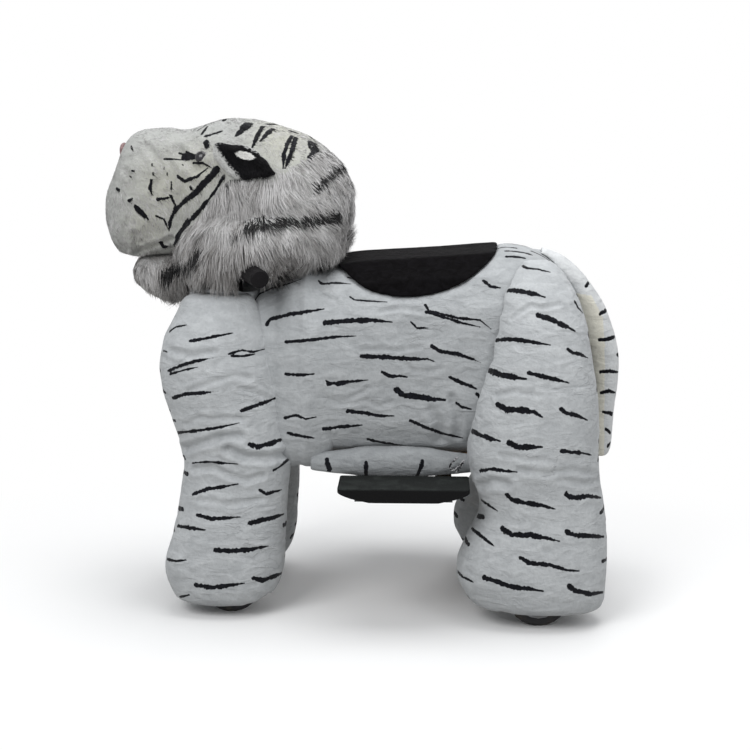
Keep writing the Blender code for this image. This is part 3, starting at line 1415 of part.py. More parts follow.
def build_head(plush, fur, pivot):
    """Head, muzzle, lower jaw and the long-haired ruff, which is open below for the handlebar."""
    channel = box(
        (FRONT_AXLE_X - CHANNEL_HALF_DEPTH, -CHANNEL_HALF_WIDTH, RUFF_BOTTOM - OVERRUN),
        (FRONT_AXLE_X + 2 * CHANNEL_HALF_DEPTH, CHANNEL_HALF_WIDTH, CHANNEL_TOP),
    )
    channel_cut = add_cutter("bar_channel", channel)
    head = add_piece("head_plush", head_form(), plush, pivot)
    combine(head, channel_cut)
    deep = MOUNT_PLATE_DEPTH / 2 + GAP
    wide = MOUNT_PLATE_WIDTH / 2 + GAP
    pocket = box(
        (FRONT_AXLE_X - deep, -wide, RUFF_BOTTOM),
        (FRONT_AXLE_X + deep, wide, MOUNT_PLATE_Z + MOUNT_PLATE_THICKNESS + GAP),
    )
    combine(head, add_cutter("head_pocket", pocket))

    ruff = add_piece("neck_ruff", ruff_form(), fur, pivot)
    combine(ruff, add_cutter("ruff_head_cut", head_form(SOFT_GAP)))
    combine(ruff, channel_cut)
    for label, side in SIDES:
        hole = rod(GRIP_RADIUS + 2 * GRIP_FLANGE, bar_point(side, 0), bar_point(side, 1), BAR_SIDES)
        combine(ruff, add_cutter(f"grip_hole_{label}", hole))

    muzzle = add_piece("muzzle_plush", muzzle_form(), plush, pivot)
    combine(muzzle, add_cutter("muzzle_head_cut", head_form(SOFT_GAP)))
    combine(muzzle, add_cutter("muzzle_ruff_cut", ruff_form(SOFT_GAP)))

    jaw = add_piece("lower_jaw_plush", jaw_form(), plush, pivot)
    combine(jaw, add_cutter("jaw_muzzle_cut", muzzle_form(SOFT_GAP)))
    combine(jaw, add_cutter("jaw_head_cut", head_form(SOFT_GAP)))
    combine(jaw, add_cutter("jaw_ruff_cut", ruff_form(SOFT_GAP)))


def head_place(shares, side):
    """A place on the head from its shares of the head's length, half width and height."""
    back, out, high = shares
    return Vector(
        (
            HEAD_FRONT + (HEAD_BACK - HEAD_FRONT) * back,
            side * HEAD_HALF_WIDTH * out,
            HEAD_BOTTOM + (HEAD_TOP - HEAD_BOTTOM) * high,
        )
    )


def ellipsoid(centre, sizes, tilt, rings, sides=EGG_SIDES, point_power=1):
    """An egg shape given by its three half sizes, tilted about Y. A greater point power gives it pointed ends."""
    turn = Matrix.Rotation(tilt, 3, "Y")
    body = []
    for i in range(1, rings):
        polar = math.pi * i / rings
        width = math.sin(polar) ** point_power
        ring = []
        for j in range(sides):
            angle = 2 * math.pi * j / sides
            local = Vector(
                (
                    sizes[0] * math.cos(polar),
                    sizes[1] * width * math.cos(angle),
                    sizes[2] * width * math.sin(angle),
                )
            )
            ring.append(Vector(centre) + turn @ local)
        body.append(ring)
    return skin_rings(body)


def build_ears_and_eyes(plush, glass, pivot):
    head_cut = add_cutter("ear_head_cut", head_form(SOFT_GAP))
    for label, side in SIDES:
        centre = head_place(EAR_PLACE_SHARES, side)
        sizes = (EAR_HALF_LENGTH, EAR_HALF_THICKNESS, EAR_HALF_HEIGHT)
        leaf = ellipsoid(centre, sizes, EAR_TILT, EAR_RINGS, point_power=EAR_POINT_POWER)
        ear = add_piece(f"ear_{label}", leaf, plush, pivot)
        cup_sizes = tuple(size * EAR_CUP_SHARE for size in sizes)
        cup_centre = centre + Vector((0, side * EAR_HALF_THICKNESS, 0))
        cup = ellipsoid(cup_centre, cup_sizes, EAR_TILT, EAR_RINGS, point_power=EAR_POINT_POWER)
        combine(ear, add_cutter(f"ear_cup_{label}", cup))
        combine(ear, head_cut)

        eye_place = head_place(EYE_PLACE_SHARES, side)
        eye = add_piece(f"eye_{label}", ellipsoid(eye_place, (EYE_RADIUS,) * 3, 0, EYE_RINGS), glass, pivot)
        combine(eye, head_cut)


def main():
    clear_scene()
    white_plush = make_material("white_plush", (0.62, 0.64, 0.64), 0.95)
    long_fur = make_material("long_fur", (0.52, 0.52, 0.53), 1.0)
    saddle_cloth = make_material("saddle_cloth", (0.012, 0.011, 0.012), 0.9)
    frame_steel = make_material("frame_steel", (0.03, 0.03, 0.032), 0.45, 0.3)
    bright_steel = make_material("bright_steel", (0.5, 0.5, 0.52), 0.3, 1)
    brass = make_material("bearing_brass", (0.55, 0.4, 0.16), 0.35, 1)
    footboard_plastic = make_material("footboard_plastic", (0.04, 0.046, 0.043), 0.6)
    plywood = make_material("plywood", (0.5, 0.36, 0.2), 0.7)
    battery_case = make_material("battery_case", (0.02, 0.02, 0.022), 0.5)
    strap_web = make_material("strap_web", (0.03, 0.03, 0.03), 0.9)
    controller_metal = make_material("controller_metal", (0.4, 0.4, 0.42), 0.4, 1)
    motor_paint = make_material("motor_paint", (0.05, 0.05, 0.055), 0.4, 0.4)
    tyre_rubber = make_material("tyre_rubber", (0.015, 0.015, 0.015), 0.8)
    hub_plastic = make_material("hub_plastic", (0.6, 0.6, 0.58), 0.5)
    grip_rubber = make_material("grip_rubber", (0.02, 0.014, 0.02), 0.6)
    throttle_plastic = make_material("throttle_plastic", (0.02, 0.02, 0.02), 0.5)
    eye_glass = make_material("eye_glass", (0.02, 0.02, 0.03), 0.05)

    steering_pivot = make_pivot("steering_pivot", STEERING_AXIS)
    axle_pivot = make_pivot("rear_axle_pivot", REAR_AXIS)
    pinion_pivot = make_pivot("pinion_pivot", PINION_AXIS)
    lever_pivot = make_pivot("throttle_pivot", bar_point(1, 1))

    build_frame(frame_steel)
    build_bearings(brass)
    build_rear_frame(frame_steel)
    build_footrests(frame_steel, footboard_plastic)
    build_boards(plywood, frame_steel)
    build_battery(battery_case, strap_web)
    build_controller(controller_metal)
    build_drive(bright_steel, brass, motor_paint, axle_pivot, pinion_pivot)
    build_running_gear(bright_steel, tyre_rubber, hub_plastic, steering_pivot, axle_pivot)
    build_steering(frame_steel, steering_pivot)
    build_handlebar(bright_steel, grip_rubber, throttle_plastic, steering_pivot, lever_pivot)
    build_torso(white_plush, saddle_cloth)
    build_rear_legs(white_plush)
    build_front_legs(white_plush, steering_pivot)
    build_belly_rolls(white_plush)
    build_tail(white_plush)
    build_chest(white_plush, steering_pivot)
    build_head(white_plush, long_fur, steering_pivot)
    build_ears_and_eyes(white_plush, eye_glass, steering_pivot)


main()
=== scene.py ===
"""Looks of the plush ride-on tiger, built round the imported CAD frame.

Every stuffed solid is replaced by a fine mesh of the same form with crumpled plush, painted stripes and, on
the cheeks and the ruff, strands of long fur. Stripes are strokes drawn on the photograph, laid on the surface
along the photograph's lines of sight, and repeated with small changes on the far side.
"""

import itertools
import math

import bmesh
import bpy
import numpy as np
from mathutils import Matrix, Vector
from mathutils.bvhtree import BVHTree
from mathutils.kdtree import KDTree


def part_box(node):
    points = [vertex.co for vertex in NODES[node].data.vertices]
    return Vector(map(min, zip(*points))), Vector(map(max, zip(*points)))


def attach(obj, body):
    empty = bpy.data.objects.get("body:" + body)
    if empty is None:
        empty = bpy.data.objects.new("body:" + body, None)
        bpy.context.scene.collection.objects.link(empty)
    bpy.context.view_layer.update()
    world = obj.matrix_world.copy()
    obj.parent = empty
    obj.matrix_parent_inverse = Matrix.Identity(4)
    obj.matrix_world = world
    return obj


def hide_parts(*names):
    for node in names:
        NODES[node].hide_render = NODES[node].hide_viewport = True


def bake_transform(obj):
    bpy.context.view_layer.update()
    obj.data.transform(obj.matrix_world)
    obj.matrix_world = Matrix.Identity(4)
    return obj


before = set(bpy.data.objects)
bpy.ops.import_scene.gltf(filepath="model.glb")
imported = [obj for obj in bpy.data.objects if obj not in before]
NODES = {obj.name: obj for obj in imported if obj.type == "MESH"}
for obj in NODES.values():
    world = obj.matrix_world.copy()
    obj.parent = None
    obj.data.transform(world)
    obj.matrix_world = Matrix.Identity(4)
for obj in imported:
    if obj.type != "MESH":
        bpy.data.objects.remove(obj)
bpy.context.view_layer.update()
MM = 0.001

# Camera, matched to the photograph
PHOTO_SIZE = 750
AZIMUTH = math.radians(2.0)
ELEVATION = math.radians(10.4)
DISTANCE = 2.93
LENS_MM = 74.64
SENSOR_MM = 36.0
TARGET = Vector((0.015, 0.0, 0.419))

PIXEL_FOCAL = LENS_MM / SENSOR_MM * PHOTO_SIZE
PHOTO_MIDDLE = PHOTO_SIZE / 2
TOWARD_EYE = Vector((
    math.sin(AZIMUTH) * math.cos(ELEVATION),
    -math.cos(AZIMUTH) * math.cos(ELEVATION),
    math.sin(ELEVATION),
))
RIGHTWARD = Vector((math.cos(AZIMUTH), math.sin(AZIMUTH), 0.0))
UPWARD = TOWARD_EYE.cross(RIGHTWARD)
EYE = TARGET + TOWARD_EYE * DISTANCE
METRES_PER_PIXEL = DISTANCE / PIXEL_FOCAL

NEAR, FAR = 1, -1

# Strokes of the coat, in pixels of the photograph: thickness, then the points of the stroke.
TORSO_STROKES_PX = (
    (4.0, (267, 324), (270, 319), (290, 314), (324, 309)),
    (3.2, (319, 281), (322, 284), (338, 283), (351, 284)),
    (1.8, (350, 297), (354, 300), (370, 301), (387, 302)),
    (4.6, (325, 323), (345, 321), (370, 320), (392, 322)),
    (3.0, (286, 342), (310, 340), (335, 337), (356, 336)),
    (2.2, (411, 322), (417, 328), (429, 328)),
    (2.6, (425, 305), (429, 311), (458, 318), (480, 320), (491, 329)),
    (2.6, (426, 312), (440, 316), (462, 323), (480, 327)),
    (3.2, (484, 281), (490, 286), (500, 288)),
    (4.2, (362, 356), (385, 357), (410, 359), (428, 359), (436, 362)),
    (3.8, (432, 346), (439, 351), (458, 354), (475, 360), (481, 363)),
    (3.0, (286, 374), (300, 375), (314, 374)),
    (3.2, (324, 385), (340, 382), (355, 381), (368, 380)),
    (2.4, (325, 381), (338, 385), (350, 383)),
    (3.4, (382, 372), (390, 376), (400, 376), (407, 377)),
    (3.6, (450, 377), (457, 381), (468, 385), (477, 389)),
    (5.6, (397, 390), (403, 395), (420, 397), (434, 399), (445, 400)),
    (3.0, (457, 403), (462, 407), (471, 409)),
    (3.0, (477, 394), (482, 399), (493, 401)),
    (2.6, (285, 418), (296, 415), (306, 419), (316, 417)),
    (3.6, (348, 411), (365, 413), (380, 416), (394, 416)),
    (3.8, (324, 429), (340, 427), (362, 425)),
    (3.4, (411, 421), (425, 427), (445, 434), (463, 438)),
    (3.2, (288, 433), (300, 436), (314, 438)),
    (3.4, (368, 439), (385, 443), (406, 446)),
)
BELLY_STROKES_PX = (
    (3.4, (305, 457), (308, 463), (312, 468)),
    (4.0, (330, 458), (332, 465), (333, 472)),
    (3.8, (366, 461), (366, 468), (367, 475)),
    (3.8, (422, 460), (419, 468), (415, 475)),
)
REAR_STROKES_PX = (
    (2.4, (523, 245), (530, 247), (537, 248)),
    (3.0, (507, 252), (511, 253), (515, 252)),
    (2.4, (518, 251), (524, 254), (533, 255)),
    (3.2, (521, 265), (527, 268), (538, 269), (550, 272)),
    (5.0, (505, 290), (520, 291), (534, 294), (545, 297)),
    (5.0, (538, 315), (550, 319), (563, 325), (575, 331)),
    (3.0, (575, 302), (578, 308), (583, 313)),
    (4.0, (496, 340), (510, 339), (526, 341), (538, 343), (550, 345)),
    (3.4, (568, 349), (573, 353), (580, 354), (588, 358)),
    (5.4, (485, 369), (498, 374), (512, 377), (526, 379)),
    (4.0, (529, 373), (545, 377), (558, 380), (569, 383)),
    (5.6, (498, 405), (507, 410), (522, 410), (534, 412), (542, 417)),
    (3.8, (561, 409), (566, 413), (578, 416), (587, 420)),
    (4.6, (472, 431), (482, 436), (492, 439), (500, 441)),
    (5.2, (509, 443), (517, 447), (530, 447), (542, 447)),
    (3.6, (561, 451), (572, 452), (582, 453), (591, 455)),
    (3.4, (480, 471), (492, 469), (505, 471), (517, 472)),
    (4.6, (507, 495), (513, 500), (526, 503), (540, 505), (555, 509)),
    (4.4, (566, 494), (572, 498), (590, 496), (603, 498)),
    (3.0, (481, 500), (489, 505), (498, 511)),
    (3.4, (469, 526), (480, 535), (494, 546)),
    (5.0, (503, 529), (512, 535), (530, 535), (545, 538), (559, 541)),
    (4.6, (567, 532), (573, 535), (590, 536), (607, 537)),
    (3.8, (521, 558), (530, 563), (550, 565), (566, 570), (579, 571)),
    (3.2, (457, 570), (463, 577), (473, 582)),
    (4.8, (485, 578), (495, 581), (512, 587), (530, 589), (543, 591)),
    (4.6, (569, 586), (576, 591), (590, 594), (605, 592)),
)
FRONT_STROKES_PX = (
    (2.2, (170, 331), (176, 327), (186, 325)),
    (3.0, (190, 341), (203, 339), (218, 336), (233, 333)),
    (2.0, (160, 350), (168, 352)),
    (2.4, (229, 354), (242, 350), (253, 352), (265, 349)),
    (2.4, (232, 356), (244, 356), (255, 354)),
    (3.2, (168, 371), (180, 366), (196, 361), (213, 358)),
    (2.4, (170, 374), (184, 370), (198, 367)),
    (3.4, (173, 398), (185, 394), (200, 393), (219, 391)),
    (3.8, (241, 411), (252, 407), (266, 402), (280, 396)),
    (3.0, (176, 433), (195, 431), (216, 428), (239, 423)),
    (4.8, (249, 444), (258, 447), (272, 443), (287, 437)),
    (2.4, (192, 463), (207, 462), (222, 463), (238, 464)),
    (3.0, (274, 470), (282, 465), (292, 456)),
    (3.6, (193, 494), (208, 489), (222, 487), (238, 484)),
    (3.4, (260, 490), (266, 494), (274, 492), (282, 490)),
    (3.6, (197, 515), (212, 519), (226, 518), (240, 517)),
    (4.6, (250, 523), (262, 520), (272, 518), (284, 514)),
    (3.4, (178, 526), (190, 528), (205, 530)),
    (2.8, (166, 559), (176, 561), (186, 560)),
    (4.8, (216, 550), (228, 551), (245, 550), (268, 546)),
    (4.8, (253, 578), (262, 580), (275, 576), (286, 571)),
    (4.6, (196, 585), (210, 588), (226, 586), (244, 583)),
    (2.6, (180, 597), (189, 595)),
)
CHEST_STROKES_PX = (
    (3.0, (255, 300), (259, 294), (272, 288), (288, 284), (302, 279)),
    (2.6, (196, 314), (208, 311), (222, 312), (238, 309)),
    (2.4, (236, 322), (246, 318), (252, 312)),
)
TAIL_STROKES_PX = (
    (3.4, (586, 286), (591, 280)),
    (3.6, (600, 314), (609, 308)),
    (3.6, (599, 340), (608, 339), (619, 335)),
    (3.8, (601, 372), (609, 371), (618, 372)),
    (3.6, (601, 393), (609, 391), (617, 393)),
    (3.6, (603, 412), (609, 413), (616, 415)),
    (3.6, (606, 429), (610, 433), (614, 434)),
    (4.2, (608, 446), (611, 442)),
)
FACE_STROKES_PX = (
    (3.4, (202, 134), (206, 128), (212, 121)),
    (1.8, (197, 131), (205, 125), (214, 121)),
    (4.2, (206, 136), (211, 135), (216, 133)),
    (2.8, (214, 134), (222, 131)),
    (5.4, (206, 142), (207, 146)),
    (6.0, (184, 157), (192, 157), (200, 156)),
    (2.2, (179, 153), (188, 156)),
    (2.2, (186, 152), (194, 155)),
    (2.0, (164, 159), (174, 159), (186, 160)),
    (2.6, (193, 163), (203, 163), (212, 168)),
    (1.8, (131, 146), (133, 151)),
    (2.0, (132, 171), (134, 171)),
    (1.8, (130, 176), (131, 177)),
    (2.8, (117, 189), (119, 190)),
    (3.2, (129, 201), (132, 199)),
    (1.6, (152, 164), (152, 166)),
    (1.6, (153, 173), (153, 175)),
    (1.6, (164, 167), (164, 169)),
    (1.6, (167, 173), (167, 175)),
    (1.6, (182, 164), (183, 165)),
    (3.0, (151, 180), (150, 188), (152, 195)),
    (2.0, (171, 182), (171, 191)),
    (3.4, (177, 176), (184, 181), (196, 177), (208, 168)),
    (2.6, (190, 187), (191, 189)),
    (3.0, (157, 199), (164, 199), (170, 197)),
    (2.6, (170, 195), (175, 205), (172, 219)),
    (5.0, (136, 207), (142, 213), (148, 219)),
    (2.0, (156, 216), (164, 219), (168, 229)),
    (7.4, (216, 170), (210, 177), (203, 184)),
    (6.4, (205, 182), (196, 192), (186, 200)),
    (4.4, (188, 198), (177, 208), (172, 216)),
    (3.2, (173, 214), (170, 222), (169, 231)),
    (3.0, (224, 176), (216, 190), (205, 204)),
    (4.4, (207, 202), (195, 215), (185, 226)),
    (7.0, (188, 222), (180, 233), (174, 245)),
    (3.6, (161, 242), (164, 247), (169, 246)),
    (8.4, (250, 122), (245, 127), (241, 131)),
    (6.0, (243, 129), (236, 136)),
    (5.0, (276, 125), (268, 133), (260, 141)),
    (4.2, (262, 127), (257, 136), (252, 148)),
    (4.6, (262, 127), (267, 124), (276, 124)),
    (4.8, (297, 132), (294, 144), (290, 156), (285, 168)),
    (4.0, (293, 134), (287, 144), (284, 155), (283, 168)),
    (6.0, (291, 131), (297, 133)),
    (8.0, (312, 142), (316, 148), (313, 154)),
    (6.0, (314, 151), (309, 162)),
    (3.6, (309, 141), (310, 148)),
    (2.4, (306, 134), (315, 141)),
)
FUR_BANDS_PX = (
    (10.0, (248, 231), (272, 227), (300, 224), (337, 218)),
    (5.0, (234, 240), (244, 234), (256, 229)),
    (9.0, (319, 189), (330, 180), (344, 166)),
    (7.0, (228, 186), (239, 180)),
    (7.0, (269, 282), (302, 274), (338, 255)),
    (12.0, (166, 278), (180, 270), (198, 259)),
    (5.0, (188, 226), (180, 236), (174, 247)),
)

# Where the long fur grows, and how it lies: place and direction, in pixels of the photograph
LONG_FUR_PX = (
    (222, 182), (240, 178), (262, 178), (282, 172), (300, 160), (318, 152), (330, 150), (356, 150),
    (362, 250), (345, 262), (306, 288), (285, 292), (255, 296), (225, 300), (178, 300), (160, 286),
    (164, 268), (172, 250), (184, 234), (200, 214), (212, 197),
)
FUR_FLOW_PX = (
    (225, 200, -0.35, 0.90), (200, 240, -0.30, 0.95), (180, 275, -0.30, 0.90), (250, 230, 0.05, 1.00),
    (262, 190, -0.10, 1.00), (300, 215, 0.85, 0.50), (335, 228, 0.85, 0.50), (345, 195, 0.75, 0.65),
    (330, 160, 0.85, 0.50), (300, 262, 0.30, 0.95), (278, 224, 0.60, 0.80), (240, 280, -0.10, 1.00),
    (215, 265, -0.25, 1.00), (150, 150, 0.90, -0.10), (125, 170, 0.50, 0.30), (115, 205, 0.20, 0.90),
    (125, 240, 0.20, 0.95), (160, 190, 0.80, 0.40), (190, 180, 0.80, 0.30), (240, 135, 0.95, 0.20),
    (150, 275, 0.05, 1.00), (150, 240, 0.40, 0.80), (300, 140, 0.80, 0.50),
)
# Creamy places of the face: place and spread
WARM_SPOTS_PX = ((170, 190, 42), (150, 225, 26), (285, 140, 38), (200, 170, 30))

# Folds of the cloth: depth and half width in metres, then the points of the fold in pixels
FRONT_FOLDS_PX = (
    (0.0068, 0.0060, (184, 449), (202, 443), (222, 437), (240, 436)),
    (0.0074, 0.0065, (228, 449), (244, 457), (268, 458), (290, 453)),
    (0.0047, 0.0050, (194, 470), (212, 467), (228, 475), (246, 480), (262, 476)),
    (0.0030, 0.0040, (188, 392), (206, 384), (220, 380), (234, 375), (250, 378)),
    (0.0024, 0.0035, (240, 389), (256, 392), (272, 401)),
    (0.0030, 0.0040, (186, 425), (200, 417), (210, 419), (228, 418), (246, 419)),
    (0.0034, 0.0050, (170, 350), (190, 356), (215, 352)),
    (0.0030, 0.0045, (200, 500), (230, 505), (262, 499)),
)
TORSO_FOLDS_PX = (
    (0.0022, 0.0030, (362, 350), (380, 349), (402, 350), (420, 347)),
    (0.0024, 0.0035, (400, 360), (412, 370), (428, 372), (442, 368)),
    (0.0027, 0.0035, (322, 396), (344, 400), (360, 394), (368, 388)),
    (0.0027, 0.0035, (326, 402), (350, 404), (366, 400), (380, 406), (392, 402)),
    (0.0054, 0.0070, (432, 410), (438, 424), (440, 440)),
    (0.0047, 0.0060, (452, 398), (458, 416), (458, 436)),
    (0.0034, 0.0050, (300, 350), (306, 380), (302, 410)),
    (0.0024, 0.0035, (380, 312), (400, 308), (420, 311)),
    (0.0024, 0.0035, (300, 300), (320, 296), (336, 300)),
)
REAR_FOLDS_PX = (
    (0.0061, 0.0070, (480, 486), (492, 482), (506, 484)),
    (0.0030, 0.0045, (520, 470), (545, 474), (572, 470), (596, 474)),
    (0.0024, 0.0035, (512, 318), (530, 306), (544, 308), (560, 304)),
    (0.0024, 0.0035, (495, 395), (515, 391), (540, 396)),
    (0.0030, 0.0045, (560, 480), (585, 484), (606, 478)),
    (0.0024, 0.0035, (500, 455), (520, 458), (545, 460)),
)
HEAD_FOLDS_PX = (
    (0.0045, 0.0050, (134, 233), (136, 243), (137, 252)),
    (0.0050, 0.0050, (136, 252), (150, 246), (162, 243), (172, 238)),
    (0.0050, 0.0085, (178, 150), (186, 161), (196, 168), (208, 168)),
    (0.0030, 0.0060, (147, 146), (158, 160), (160, 178), (154, 196)),
    (0.0025, 0.0050, (125, 170), (132, 180), (130, 196)),
)

# The plush: mesh sizes, how far it is smoothed and crumpled, and how it is fitted to the photograph
TORSO_VOXEL, LEG_VOXEL, SMALL_VOXEL, ROLL_VOXEL = 0.0085, 0.0075, 0.0045, 0.0050
HEAD_VOXEL, JAW_VOXEL, EAR_VOXEL, EYE_VOXEL, SADDLE_VOXEL = 0.0058, 0.0030, 0.0030, 0.0012, 0.0040
SMOOTH_PASSES = 45
SMOOTHING = 0.5, -0.51
LUMP_HEIGHT, CREASE_DEPTH = 0.0022, 0.0010
FACE_LUMPS, FACE_CREASES = 0.0012, 0.0005
# Lumps and creases: shares and cell sizes of two noises each, and how sharp the creases are
WIDE_LUMPS, SMALL_LUMPS = (0.65, 0.085), (0.35, 0.040)
LONG_CREASES, SHORT_CREASES = (0.65, (0.050, 0.050, 0.017), 7), (0.50, (0.024, 0.024, 0.010), 6)
CREASE_BENDING, CREASED_PATCHES = (0.010, 0.045), (0.15, 1.4, 0.075)
# A fold is traced as a thin stroke. Its raised rim: height as a share of the depth, place in half widths
FOLD_TRACE_PX, FOLD_REACH = 0.4, 4
FOLD_RIM_HEIGHT, FOLD_RIM_PLACE = 0.45, 2.0
RIM_RAYS = 36
ROLL_SIDE = 0.1745
ROLL_RISE, ROLL_SAG, ROLL_STRETCH = 0.003, 0.008, 0.011
TORSO_HEM_TOP, TORSO_HEM_DROP, TORSO_HEM_FRONT = 0.350, 0.009, (-0.110, -0.050)
FOOT_TRIM_PX = (475, 497, 515, 532, 550, 572), (0.0, 5.0, 8.5, 8.0, 4.0, 0.0), 225, 165
TAIL_TRIM_PX = (305, 345, 385), (0.0, -5.0, 0.0), 625, 590
# The tail's inner strip, and how far it is tinted creamier and painted lighter
TAIL_INNER_PX, TAIL_CREAM_AND_LIGHT = ((560, 290), (592, 296), (603, 318), (605, 345), (604, 460), (560, 460)), 1.3

# Strokes: steps along them, their widths, and the made-up ones where the photograph shows nothing
STROKE_STEP_PX = 1.6
STROKE_REACH = 0.009
STROKE_REFINING = 4.0, 1.3
NO_STROKE = -9.0
BAR_LONGEST, BAR_THINNEST = 0.012, 0.0009
SLOW_SWELL, QUICK_SWELL, DASH_SWELL = 0.12, 0.06, 0.2
TAPER_FROM, TAPER_BY = 0.6, 0.70
FAR_WIDTH, FAR_SHIFT_PX = (0.85, 1.2), 7
DASH_STEP, DASH_LENGTH, DASH_LEAST = 0.003, (0.030, 0.062), 0.018
DASH_GAP, DASH_WIDTH_PX = (0.018, 0.045), (1.5, 2.6)
DASH_ROW, DASH_ROW_SHARE, DASH_FACING, DASH_APART = 0.032, (0.85, 1.15), 0.78, 0.020
DASH_START, DASH_SLOPE, DASH_LIFT = 0.03, 0.18, 0.006


def line_of_sight(px, py, side=NEAR):
    """Start and direction of the photograph's ray through a pixel. The far side's is its mirror image."""
    across, up = (px - PHOTO_MIDDLE) / PIXEL_FOCAL, (PHOTO_MIDDLE - py) / PIXEL_FOCAL
    along = RIGHTWARD * across + UPWARD * up - TOWARD_EYE
    start = EYE.copy()
    if side == FAR:
        start.y, along.y = -start.y, -along.y
    return start, along.normalized()


def to_pixels(points):
    """Where points lie in the photograph. Those on the far side are mirrored to the near one first."""
    mirrored = np.array(points, float)
    mirrored[:, 1] = -np.abs(mirrored[:, 1])
    offset = mirrored - np.array(EYE)
    depth = -(offset @ np.array(TOWARD_EYE))
    across = offset @ np.array(RIGHTWARD) / depth * PIXEL_FOCAL + PHOTO_MIDDLE
    down = PHOTO_MIDDLE - offset @ np.array(UPWARD) / depth * PIXEL_FOCAL
    return np.stack([across, down], 1)


def soft_noise(points, size, seed):
    """Smooth noise from -1 to 1. Its cells have the size given, one length or one for each axis."""
    scaled = points / np.asarray(size, float) + 17.31 * seed
    cell = np.floor(scaled).astype(np.int64)
    ease = scaled - cell
    ease = ease * ease * (3 - 2 * ease)
    total = np.zeros(len(points))
    for corner in np.ndindex(2, 2, 2):
        spot = cell + np.array(corner)
        mixed = (spot[:, 0] * 73856093) ^ (spot[:, 1] * 19349663) ^ (spot[:, 2] * 83492791)
        mixed = ((mixed ^ (mixed >> 13)) * 1274126177) & 0x7FFFFFFF
        weight = np.prod(np.where(corner, ease, 1 - ease), axis=1)
        total += weight * (mixed / 0x3FFFFFFF - 1)
    return total


def noise_vector(points, size, seed):
    return np.stack([soft_noise(points, size, seed + k) for k in range(3)], 1)


def smoothed(points, edges, passes):
    """Points with the solid's facets smoothed away, by steps in and out that keep the form's size."""
    count = len(points)
    first, second = edges[:, 0], edges[:, 1]
    degree = np.bincount(edges.ravel(), minlength=count)[:, None]
    for factor in SMOOTHING * passes:
        around = np.stack(
            [
                np.bincount(first, points[second, k], count) + np.bincount(second, points[first, k], count)
                for k in range(3)
            ],
            1,
        )
        points = points + factor * (around / degree - points)
    return points


def read(collection, name, width, kind=np.float32):
    """One property of all members of a mesh collection, in rows."""
    values = np.empty(len(collection) * width, kind)
    collection.foreach_get(name, values)
    return values.reshape(-1, width)


def mesh_points(mesh):
    return read(mesh.vertices, "co", 3).astype(float)


def mesh_normals(mesh):
    return read(mesh.vertex_normals, "vector", 3).astype(float)


def set_points(mesh, points):
    mesh.vertices.foreach_set("co", points.astype(np.float32).ravel())
    mesh.update()


def linked(name, data):
    """A new object in the scene."""
    piece = bpy.data.objects.new(name, data)
    bpy.context.scene.collection.objects.link(piece)
    return piece


def applied(piece):
    """The piece's mesh with its modifiers applied and taken off."""
    graph = bpy.context.evaluated_depsgraph_get()
    mesh = bpy.data.meshes.new_from_object(piece.evaluated_get(graph))
    piece.modifiers.clear()
    old = piece.data
    piece.data = mesh
    bpy.data.meshes.remove(old)
    return piece


def fine_form(name, nodes, voxel, passes=SMOOTH_PASSES, levels=1):
    """A finely meshed, smooth form in the place of one CAD solid or of several that touch."""
    nodes = nodes.split()
    joined = bmesh.new()
    for node in nodes:
        joined.from_mesh(NODES[node].data)
    start = bpy.data.meshes.new(name)
    joined.to_mesh(start)
    joined.free()
    piece = linked(name, start)
    piece.data.materials.clear()
    remesh = piece.modifiers.new("remesh", "REMESH")
    remesh.mode = "VOXEL"
    remesh.voxel_size = voxel
    applied(piece)
    mesh = piece.data
    set_points(mesh, smoothed(mesh_points(mesh), read(mesh.edges, "vertices", 2, np.int32), passes))
    subdivide = piece.modifiers.new("subdivide", "SUBSURF")
    subdivide.levels = subdivide.render_levels = levels
    applied(piece)
    piece.data.shade_smooth()
    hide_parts(*nodes)
    return piece


def noise_layer(points, share, size, seed):
    return share * soft_noise(points, size, seed)


def crease_layer(points, share, size, sharpness, seed):
    return share * (1 - np.abs(soft_noise(points, size, seed))) ** sharpness


def crumple(piece, lumps, creases, seed):
    """Soft lumps of the stuffing, and short, mostly level creases of the pile."""
    mesh = piece.data
    points, normals = mesh_points(mesh), mesh_normals(mesh)
    reach, size = CREASE_BENDING
    bent = points + reach * noise_vector(points, size, seed)
    lump = noise_layer(points, *WIDE_LUMPS, seed + 3) + noise_layer(points, *SMALL_LUMPS, seed + 4)
    crease = crease_layer(bent, *LONG_CREASES, seed + 5) + crease_layer(bent, *SHORT_CREASES, seed + 6)
    least, *patches = CREASED_PATCHES
    where = np.clip(least + noise_layer(points, *patches, seed + 7), 0, 1)
    height = lumps * lump - creases * where * crease
    set_points(mesh, points + normals * height[:, None])


def surface_tree(piece):
    corners = [tuple(v.co) for v in piece.data.vertices]
    return BVHTree.FromPolygons(corners, [tuple(p.vertices) for p in piece.data.polygons])


def trimmed(piece, rows, reaches, still, edge):
    """Moves an upright edge to the photographed one: by all of the reach there, by none where it is still."""
    points = mesh_points(piece.data)
    pixels = to_pixels(points)
    share = np.clip((still - pixels[:, 0]) / (still - edge), 0, 1) ** 1.5
    points[:, 0] += np.interp(pixels[:, 1], rows, reaches) * share * METRES_PER_PIXEL
    set_points(piece.data, points)


def let_down(piece):
    """The torso's hem, let down over the belly rolls but not where the front legs swing past it."""
    points = mesh_points(piece.data)
    share = np.clip((TORSO_HEM_TOP - points[:, 2]) / (TORSO_HEM_TOP - points[:, 2].min()), 0, 1)
    points[:, 2] -= TORSO_HEM_DROP * share**1.5 * np.interp(points[:, 0], TORSO_HEM_FRONT, (0.0, 1.0))
    set_points(piece.data, points)


def bearing_and_reach(offset):
    return np.arctan2(offset[:, 1], offset[:, 0]), np.hypot(offset[:, 0], offset[:, 1])


